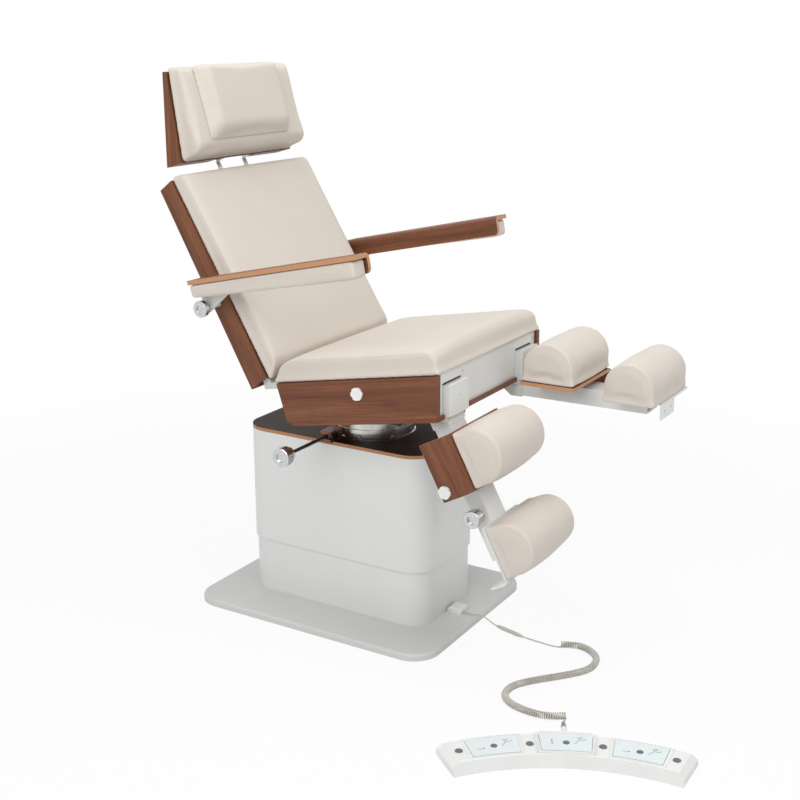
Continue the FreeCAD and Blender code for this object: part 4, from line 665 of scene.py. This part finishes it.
def pillow_block():
    """The headrest's pillow: a block that narrows towards its face, with rounded edges."""
    shape = bmesh.new()
    bmesh.ops.create_cube(shape, size=1)
    for vertex in shape.verts:
        across, out, low, high = PILLOW_FACE if vertex.co.y < 0 else PILLOW_BACK
        vertex.co = (math.copysign(across, vertex.co.x) * MM, out * MM,
                     (high if vertex.co.z > 0 else low) * MM)
    bmesh.ops.bevel(shape, geom=shape.edges[:], affect="EDGES", offset=PILLOW_ROUNDING * MM,
                    segments=4, profile=0.5, material=-1)
    return shape


def crowned(piece, at, half, reach, fade):
    """Raises the middle of a pad along its frame's axis, by as much as fade gives there."""
    inverse = at.inverted()
    axis, height = reach
    for vertex in piece.data.vertices:
        local = inverse @ vertex.co
        level, along = fade(local)
        share = max(0, 1 - abs(local.x / half) ** 3) * level * along
        local[axis] += height * MM * share
        vertex.co = at @ local


def eased(value, low, high):
    """A smooth step from 0 to 1 between two places in millimetres."""
    share = min(max((value / MM - low) / (high - low), 0), 1)
    return share * share * (3 - 2 * share)


def remeshed(name, node, voxel, shrink, own=None):
    """An even net of quads over the pad, a little smaller than it above its foot."""
    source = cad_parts[node].data.copy()
    if own:
        drawn_shape, at = own
        drawn_shape.transform(at)
        bmesh.ops.recalc_face_normals(drawn_shape, faces=drawn_shape.faces)
        drawn_shape.to_mesh(source)
        drawn_shape.free()
    shell = bmesh.new()
    shell.from_mesh(source)
    bmesh.ops.remove_doubles(shell, verts=shell.verts, dist=0.00002)
    shell.to_mesh(source)
    shell.free()
    side = resting_side(source)
    blank = mesh_piece(name, source)
    net = blank.modifiers.new("net", "REMESH")
    net.mode = "VOXEL"
    net.voxel_size = voxel
    ease = blank.modifiers.new("ease", "SMOOTH")
    ease.iterations = SMOOTH_ROUNDS
    mesh = bpy.data.meshes.new_from_object(
        blank.evaluated_get(bpy.context.evaluated_depsgraph_get()))
    bpy.data.objects.remove(blank)
    normal, level = side
    for vertex, out in zip(mesh.vertices, [Vector(item.vector) for item in mesh.vertex_normals]):
        height = level - vertex.co.dot(normal)
        vertex.co -= out * shrink * min(max(height / FOOT_FADE, 0), 1)
    return mesh_piece(name, mesh), side


def evened(moves, edges):
    """Evens out how far neighbouring points of a cover move."""
    for _ in range(EVEN_ROUNDS):
        sums = [move.copy() for move in moves]
        counts = [1] * len(moves)
        for first, second in edges:
            sums[first] += moves[second]
            sums[second] += moves[first]
            counts[first] += 1
            counts[second] += 1
        moves = [total / count for total, count in zip(sums, counts)]
    return moves


def swell(piece, side, cap):
    """Blows the cover up as cloth, holds its resting side flat and caps how far it moves."""
    start = [vertex.co.copy() for vertex in piece.data.vertices]
    cloth = piece.modifiers.new("cover", "CLOTH")
    cloth.settings.quality = 4
    cloth.settings.use_pressure = True
    cloth.settings.uniform_pressure_force = CLOTH_PRESSURE
    cloth.settings.effector_weights.gravity = 0
    cloth.collision_settings.use_collision = False
    cloth.point_cache.frame_start = 1
    cloth.point_cache.frame_end = CLOTH_FRAMES
    for step in range(1, CLOTH_FRAMES + 1):
        bpy.context.scene.frame_set(step)
    puffed = bpy.data.meshes.new_from_object(
        piece.evaluated_get(bpy.context.evaluated_depsgraph_get()))
    piece.modifiers.clear()
    bpy.context.scene.frame_set(1)
    normal, level = side
    moves = evened([after.co - before for before, after in zip(start, puffed.vertices)],
                   [edge.vertices[:] for edge in piece.data.edges])
    for vertex, before, move in zip(piece.data.vertices, start, moves):
        height = level - before.dot(normal)
        share = min(max((height - HELD_BELOW) / HELD_FADE, 0), 1)
        if move.length > cap:
            move *= cap / move.length
        vertex.co = before + move * share * share * (3 - 2 * share)


def sew(piece, places, depth=0.0011, width=0.0016):
    """A narrow sunk seam where each plane, a point and a direction, meets the cover."""
    cover = bmesh.new()
    cover.from_mesh(piece.data)
    for point, direction in places:
        point, direction = Vector(point), Vector(direction).normalized()
        for offset in (-width, 0, width):
            bmesh.ops.bisect_plane(cover, geom=cover.verts[:] + cover.edges[:] + cover.faces[:],
                                   plane_co=point + direction * offset, plane_no=direction,
                                   dist=0.00001)
        cover.normal_update()
        sunk = [vertex for vertex in cover.verts
                if abs((vertex.co - point).dot(direction)) < 0.00002]
        for vertex, normal in [(vertex, vertex.normal.copy()) for vertex in sunk]:
            vertex.co -= normal * depth
    cover.to_mesh(piece.data)
    cover.free()


def upholster(name, node, body, cap=0.006, shrink=0.003, seam_inset=0.004, voxel=0.006,
              seams=None, own=None, crown=None):
    """A pad in place of its CAD solid, with a seam near each end unless others are given."""
    piece, side = remeshed(name, node, voxel, shrink, own)
    swell(piece, side, cap)
    if crown:
        crowned(piece, *crown)
    low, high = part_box(node)
    if seams is None:
        seams = [((x, 0, 0), (1, 0, 0)) for x in (low.x + seam_inset, high.x - seam_inset)]
    sew(piece, seams)
    for face in piece.data.polygons:
        face.use_smooth = True
    rounding = piece.modifiers.new("rounding", "SUBSURF")
    rounding.levels = rounding.render_levels = 1
    piece.data.materials.clear()
    piece.data.materials.append(upholstery())
    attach(piece, body)
    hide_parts(node)
    return piece


# Side outlines as (y, z, rounding) and half widths, in millimetres in each pad's own frame
SEAT_SIDE = [(-312, 141.8, 8), (217, 141.8, 6), (194, 187, 14), (150, 205, 20), (-312, 203, 30)]
BACK_SIDE = [(-7.4, -4, 4), (9.2, 618, 8), (-30, 618, 20), (-53, 34, 20)]
HEAD_SIDE = [(-50.6, 14.8, 4), (-11.7, 271, 8), (-52, 273, 14), (-119, 44, 26)]
CHAIR_HALF = 299.5
CHAIR_ROLL = 9
CROWN_HALF = 0.3
SEAT_CROWN = (2, 13)
BACK_CROWN = (1, -10)
HEAD_HALF = 254.5
HEAD_ROLL = 12
PILLOW_PLACE = (-0.016, -0.1125, 0.066)
PILLOW_LEAN = -16.3


def upholster_chair():
    def seat_fade(at):
        return eased(at.z, 150, 200), eased(-at.y, -170, -60)

    def back_fade(at):
        return eased(-at.y, 5, 25), eased(at.z, 30, 160)

    upholster("seat_pad", "seat_cushion", "seat", cap=0.005, seam_inset=0.009,
              own=(cushion(SEAT_SIDE, CHAIR_HALF, CHAIR_ROLL), SEAT),
              crown=(SEAT, CROWN_HALF, SEAT_CROWN, seat_fade))
    upholster("back_pad", "back_cushion", "back", cap=0.005, seam_inset=0.009,
              own=(cushion(BACK_SIDE, CHAIR_HALF, CHAIR_ROLL), BACK),
              crown=(BACK, CROWN_HALF, BACK_CROWN, back_fade))
    upholster("head_pad", "headrest_cushion", "headrest", cap=0.005, voxel=0.005,
              seam_inset=0.012, own=(cushion(HEAD_SIDE, HEAD_HALF, HEAD_ROLL), HEAD))
    lean = HEAD @ Matrix.Translation(PILLOW_PLACE) @ \
        Matrix.Rotation(math.radians(PILLOW_LEAN), 4, "X")
    upholster("pillow", "head_pillow", "headrest", cap=0.006, voxel=0.005, seams=[],
              own=(pillow_block(), lean))
    for word in SIDE:
        upholster("arm_pad_" + word, "armrest_pad_" + word, "armrest_" + word, cap=0.002,
                  shrink=0.001, seams=[], voxel=0.004)
        upholster("calf_roll_" + word, "calf_pad_" + word, "calf_" + word, cap=0.005, voxel=0.005)
        upholster("foot_roll_" + word, "foot_pad_" + word, "foot_rest_" + word, cap=0.005,
                  voxel=0.005)


# Fine parts in new meshes
def built(name, shape, material, body, at=FLOOR, bevel=0, smooth=True):
    """Turns a shape into a piece that rides on a body, placed in its mesh."""
    bmesh.ops.recalc_face_normals(shape, faces=shape.faces)
    shape.transform(at)
    mesh = bpy.data.meshes.new(name)
    shape.to_mesh(mesh)
    shape.free()
    for face in mesh.polygons:
        face.use_smooth = smooth
    piece = mesh_piece(name, mesh)
    mesh.materials.append(material)
    if bevel:
        edge = piece.modifiers.new("edge", "BEVEL")
        edge.width = bevel
        edge.segments = 2
        edge.limit_method = "ANGLE"
    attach(piece, body)
    return piece


def turned_shape(profile, steps=32):
    """A solid turned about z from a profile of (radius, height), in millimetres."""
    shape = bmesh.new()
    rim = [shape.verts.new((radius * MM, 0, height * MM)) for radius, height in profile]
    edges = [shape.edges.new(pair) for pair in zip(rim, rim[1:])]
    bmesh.ops.spin(shape, geom=rim + edges, cent=(0, 0, 0), axis=(0, 0, 1), angle=2 * math.pi,
                   steps=steps, use_merge=True)
    bmesh.ops.remove_doubles(shape, verts=shape.verts, dist=0.000005)
    return shape


def merged(shapes):
    """Several placed shapes as one."""
    whole = bmesh.new()
    for shape, at in shapes:
        shape.transform(at)
        part = bpy.data.meshes.new("part")
        shape.to_mesh(part)
        shape.free()
        whole.from_mesh(part)
        bpy.data.meshes.remove(part)
    return whole


# The foot control's places, as degrees along its arc and millimetres out from the arc's centre
ROCKER_PLACES = (-15, 0, 15)
ROCKER_TOP = (33.3, 36.3, 33.3)
ROCKER_STAND = 1.3
ROCKER_MIDDLE = 652
BEZEL_INNER = 612
BEZEL_OUTER = 696
BEZEL_SPREAD = 12.4
BEZEL_WIDTH = 2.2
BEZEL_HEIGHT = 1.5
BEZEL_CORNER = 4
SIGN_LINE = 0.75
RIB_PLACES = (-9.2, -6.0, 6.0, 9.2)
RIB_SIZE = (84, 0.9, 0.5)
BUTTON_PLACES = (-22.5, -7.5, 7.5, 22.5)
MARK_PROFILE = [(0, 2.2), (4, 2.1), (7, 1.6), (8.2, 0.4), (8.2, 0)]
RING_PROFILE = [(9.5, 0), (9.7, 0.8), (10.6, 1.0), (11.6, 0.7), (12, 0), (9.5, 0)]
CHAIR_SIGN = [[(-9, 2), (-7, 1.5), (-3, -6), (3, -6), (6, -9)], [(-3, -7.5), (-5, -11)],
              [(-1, -7), (-1, -11), (-4, -11.5), (2, -11.5)]]
TURN_SIGN = [[(-4, 6), (-1, 8.5), (3, 8), (6, 5)], [(6, 5), (3.4, 5.6)], [(6, 5), (6.2, 7.8)]]
LIFT_SIGN = [[(0, -6), (0, 6)], [(-2.4, 3.6), (0, 6), (2.4, 3.6)],
             [(-2.4, -3.6), (0, -6), (2.4, -3.6)]]


def on_arc(radius, degrees, height):
    """A place on the foot control, turned to face along the arc's radius."""
    turn = Matrix.Rotation(math.radians(degrees), 4, "Z")
    return CONTROL @ turn @ Matrix.Translation((radius * MM, 0, height * MM))


def bezel_frame():
    """A raised frame whose long sides follow the foot control's arc."""
    shape = bmesh.new()
    start = [shape.verts.new((radius * MM, 0, 0)) for radius in (BEZEL_INNER, BEZEL_OUTER)]
    edge = shape.edges.new(start)
    bmesh.ops.rotate(shape, verts=shape.verts, cent=(0, 0, 0),
                     matrix=Matrix.Rotation(-math.radians(BEZEL_SPREAD / 2), 3, "Z"))
    bmesh.ops.spin(shape, geom=start + [edge], cent=(0, 0, 0), axis=(0, 0, 1),
                   angle=math.radians(BEZEL_SPREAD), steps=12)
    bmesh.ops.dissolve_faces(shape, faces=shape.faces[:])
    bmesh.ops.recalc_face_normals(shape, faces=shape.faces)
    corners = sorted(shape.verts, key=lambda v: -abs(math.atan2(v.co.y, v.co.x)))[:4]
    bmesh.ops.bevel(shape, geom=corners, affect="VERTICES", offset=BEZEL_CORNER * MM, segments=4,
                    profile=0.5, material=-1)
    bmesh.ops.inset_region(shape, faces=shape.faces[:], thickness=BEZEL_WIDTH * MM,
                           use_boundary=True, use_even_offset=True)
    centre = max(shape.faces, key=lambda face: face.calc_area())
    bmesh.ops.delete(shape, geom=[centre], context="FACES")
    made = bmesh.ops.extrude_face_region(shape, geom=shape.faces[:])
    raised = [item for item in made["geom"] if isinstance(item, bmesh.types.BMVert)]
    bmesh.ops.translate(shape, verts=raised, vec=(0, 0, BEZEL_HEIGHT * MM))
    return shape


def drawn(strokes, at, size):
    """Fine raised lines, flat on a rocker plate, and their place."""
    curve = bpy.data.curves.new("sign", "CURVE")
    curve.dimensions = "3D"
    for stroke in strokes:
        spline = curve.splines.new("POLY")
        spline.points.add(len(stroke) - 1)
        for point, (x, y) in zip(spline.points, stroke):
            point.co = (-y * size * MM, -x * size * MM, 0, 1)
    curve.bevel_depth = SIGN_LINE * MM
    curve.bevel_resolution = 1
    curve.use_fill_caps = True
    line = bpy.data.objects.new("sign", curve)
    bpy.context.scene.collection.objects.link(line)
    bpy.context.view_layer.update()
    mesh = bpy.data.meshes.new_from_object(line)
    bpy.data.objects.remove(line)
    shape = bmesh.new()
    shape.from_mesh(mesh)
    return shape, at @ Matrix.Diagonal((1, 1, 0.5, 1))


def detail_foot_control():
    """Bezels, signs and marks on the rockers, ribs beside them and rings round the buttons."""
    signs = (TURN_SIGN, LIFT_SIGN, TURN_SIGN)
    for number, (degrees, top, sign) in enumerate(zip(ROCKER_PLACES, ROCKER_TOP, signs), 1):
        built("rocker_bezel_%d" % number, bezel_frame(), control_plastic(), "base",
              on_arc(0, degrees, top - ROCKER_STAND), 0.0003, False)
        shapes = [drawn(CHAIR_SIGN, on_arc(654, degrees - 3.1, top), 1.9),
                  drawn(sign, on_arc(656, degrees + 2.9, top), 1.5)]
        built("rocker_signs_%d" % number, merged(shapes), print_grey(), "rocker_%d" % number)
        built("rocker_mark_%d" % number, turned_shape(MARK_PROFILE, 24), button_rubber(),
              "rocker_%d" % number, on_arc(ROCKER_MIDDLE, degrees, top))
    ribs = []
    for degrees in RIB_PLACES:
        rib = bmesh.new()
        bmesh.ops.create_cube(rib, size=1)
        rib.transform(Matrix.Diagonal((*[side * MM for side in RIB_SIZE], 1)))
        ribs.append((rib, on_arc(653, degrees, 32.2)))
    built("module_ribs", merged(ribs), control_plastic(), "base", bevel=0.0002, smooth=False)
    for number, degrees in enumerate(BUTTON_PLACES, 1):
        built("button_ring_%d" % number, turned_shape(RING_PROFILE, 32), control_plastic(), "base",
              on_arc(ROCKER_MIDDLE, degrees, 32.0))


# The relief boot at the foot control, in metres and millimetres, and the connector's grip ribs
BOOT_PLACE = (0.763, 0, 0.0072)
BOOT_RADIUS = 6.9
BOOT_RIBS = 5
BOOT_PITCH = 5.0
BOOT_TAPER = 0.5
CONNECTOR_ENDS = (LEAD_ROUTE[-1], CURLY_LEAD[0])
CONNECTOR_RIBS = (0.24, 0.28, 0.32, 0.68, 0.72, 0.76)


def detail_cord():
    """A ribbed boot over the relief and grip ribs on the connector."""
    profile = [(0, 0), (BOOT_RADIUS, 0)]
    for rib in range(BOOT_RIBS):
        base = 1.5 + rib * BOOT_PITCH
        reach = BOOT_RADIUS - rib * BOOT_TAPER
        profile += [(reach, base), (reach, base + 2.6), (reach - 1.1, base + 3.1),
                    (reach - 1.1, base + 4.4)]
    profile += [(4.4, 26.8), (0, 26.8)]
    boot = turned_shape(profile, 28)
    lay = CONTROL @ Matrix.Translation(BOOT_PLACE) @ Matrix.Rotation(math.pi / 2, 4, "Y")
    piece = built("cord_boot", boot, relief_rubber(), "base", lay)
    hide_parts("cord_relief")
    start, end = (Vector(point) * MM for point in CONNECTOR_ENDS)
    along = (end - start).normalized()
    turn = along.to_track_quat("Z", "Y").to_matrix().to_4x4()
    rings = []
    for share in CONNECTOR_RIBS:
        ring = turned_shape([(5.2, -0.9), (5.75, -0.6), (5.75, 0.6), (5.2, 0.9), (5.2, -0.9)], 24)
        rings.append((ring, Matrix.Translation(start.lerp(end, share)) @ turn))
    built("connector_ribs", merged(rings), cord_sheath(), "base")


# The front panel's slope, and what sits on it and round the turntable
PANEL_FRONT = -272.8
PANEL_SLOPE = 0.176
PANEL_SCREWS = ((-268, 62, 0), (-150, 124, 0), (150, 58, 0), (268, 124, 0), (-208, 76, 24),
                (208, 76, 24))
COVER_PLACE = (208, -290.2, 67.2)
COVER_SIZE = (98.2, 28.5, 82.5)
COVER_LEVEL = 40
COVER_SLOPE = 0.16
COVER_WALL = 1.2
RING_BOLTS = 8
RING_BOLT_PLACE = (0.1213, 0, 0.5385)


def screw(radius, height):
    """A domed screw with a round recess."""
    return turned_shape([(0, height * 0.55), (radius * 0.42, height * 0.55),
                         (radius * 0.46, height), (radius * 0.8, height * 0.8),
                         (radius, height * 0.3), (radius, 0)], 20)


def screw_panel():
    """Screws on the front panel and on the leg covers, as (x, z, how far out)."""
    screws = []
    for x, z, out in PANEL_SCREWS:
        front = PANEL_FRONT - z * PANEL_SLOPE - out
        at = SEAT @ Matrix.Translation((x * MM, front * MM, z * MM)) @ \
            Matrix.Rotation(math.radians(100), 4, "X")
        screws.append((screw(3.0, 1.4), at))
    built("panel_screws", merged(screws), plain_steel(), "seat")


def cover_legs():
    """A bent sheet cover over each leg's hinge, open towards the seat and below."""
    x, y, z = COVER_PLACE
    for word, side in SIDE.items():
        cover = bmesh.new()
        bmesh.ops.create_cube(cover, size=1)
        cover.transform(Matrix.Translation((side * x * MM, y * MM, z * MM))
                        @ Matrix.Diagonal((*[length * MM for length in COVER_SIZE], 1)))
        open_sides = [face for face in cover.faces if face.normal.y > 0.9 or face.normal.z < -0.9]
        bmesh.ops.delete(cover, geom=open_sides, context="FACES")
        for vertex in cover.verts:
            vertex.co.y -= (vertex.co.z - COVER_LEVEL * MM) * COVER_SLOPE
        bmesh.ops.solidify(cover, geom=cover.faces[:], thickness=COVER_WALL * MM)
        built("leg_cover_" + word, cover, white_paint(), "seat", SEAT, 0.0008, False)


def bolt_ring():
    """Bolts round the turntable's ring."""
    bolts = []
    for step in range(RING_BOLTS):
        turn = Matrix.Rotation(math.radians(step * 360 / RING_BOLTS + 12), 4, "Z")
        at = turn @ Matrix.Translation(RING_BOLT_PLACE) @ Matrix.Rotation(math.pi / 2, 4, "Y")
        bolts.append((screw(3.6, 2.4), at))
    built("ring_bolts", merged(bolts), plain_steel(), "lift")


# Room: a pale floor, an even sky and soft square lamps as (name, place, side, watts)
LAMPS = (("key", (-3.2, -0.4, 2.9), 2.6, 66), ("front", (-0.4, -2.6, 3.0), 2.0, 34),
         ("top", (0.3, 0.2, 3.8), 2.4, 36))
LAMP_AIM = Vector((0, -0.1, 0.7))
SKY_LIGHT = 0.46


def lay_floor():
    """A floor that takes shadows and fades to white away from the chair."""
    floor = bmesh.new()
    bmesh.ops.create_circle(floor, cap_ends=True, cap_tris=False, segments=96, radius=14)
    floor.transform(Matrix.Translation((0, 0, -0.0004)))
    mesh = bpy.data.meshes.new("floor")
    floor.to_mesh(mesh)
    floor.free()
    mesh_piece("floor", mesh)
    pale = Finish("floor", (0.82, 0.82, 0.82, 1), Roughness=0.9, Specular_IOR_Level=0.0)
    mesh.materials.append(pale.material)
    rays = pale.node("ShaderNodeLightPath")
    seen = [Shade(pale, rays.socket.node.outputs[kind])
            for kind in ("Is Camera Ray", "Is Glossy Ray", "Is Transmission Ray")]
    away = pale.length(pale.place(FLOOR)).rise(1.2, 3.0)
    share = (seen[0] | seen[1] | seen[2]) * (away * 0.1 + 0.9)
    glow = pale.node("ShaderNodeEmission", None, {"Color": (1, 1, 1, 1), "Strength": 1.0})
    surface = pale.node("ShaderNodeMixShader", None, {
        0: share, 1: Shade(pale, pale.shader.outputs[0]), 2: glow})
    pale.tree.links.new(surface.socket, pale.tree.nodes["Material Output"].inputs["Surface"])


def light_sky():
    """A sky that is white to look at and dimmer as a lamp."""
    world = bpy.data.worlds.new("studio")
    world.use_nodes = True
    bpy.context.scene.world = world
    tree = world.node_tree
    sky = tree.nodes["Background"]
    rays = tree.nodes.new("ShaderNodeLightPath")
    seen = rays.outputs["Is Camera Ray"]
    for kind in ("Is Transmission Ray", "Is Glossy Ray"):
        either = tree.nodes.new("ShaderNodeMath")
        either.operation = "MAXIMUM"
        tree.links.new(seen, either.inputs[0])
        tree.links.new(rays.outputs[kind], either.inputs[1])
        seen = either.outputs[0]
    level = tree.nodes.new("ShaderNodeMapRange")
    level.inputs["To Min"].default_value = SKY_LIGHT
    level.inputs["To Max"].default_value = 1.0
    tree.links.new(seen, level.inputs["Value"])
    tree.links.new(level.outputs["Result"], sky.inputs["Strength"])
    sky.inputs["Color"].default_value = (1, 1, 1, 1)


def hang_lamps():
    for name, place, spread, power in LAMPS:
        lamp = bpy.data.lights.new(name, "AREA")
        lamp.shape = "SQUARE"
        lamp.size = spread
        lamp.energy = power
        stand = bpy.data.objects.new(name, lamp)
        bpy.context.scene.collection.objects.link(stand)
        stand.location = place
        aim = LAMP_AIM - stand.location
        stand.rotation_euler = aim.to_track_quat("-Z", "Y").to_euler()


stand_camera()
lay_cords()
finish_cad_parts()
upholster_chair()
detail_foot_control()
detail_cord()
screw_panel()
cover_legs()
bolt_ring()
lay_floor()
light_sky()
hang_lamps()
bpy.context.scene.view_settings.view_transform = "Standard"
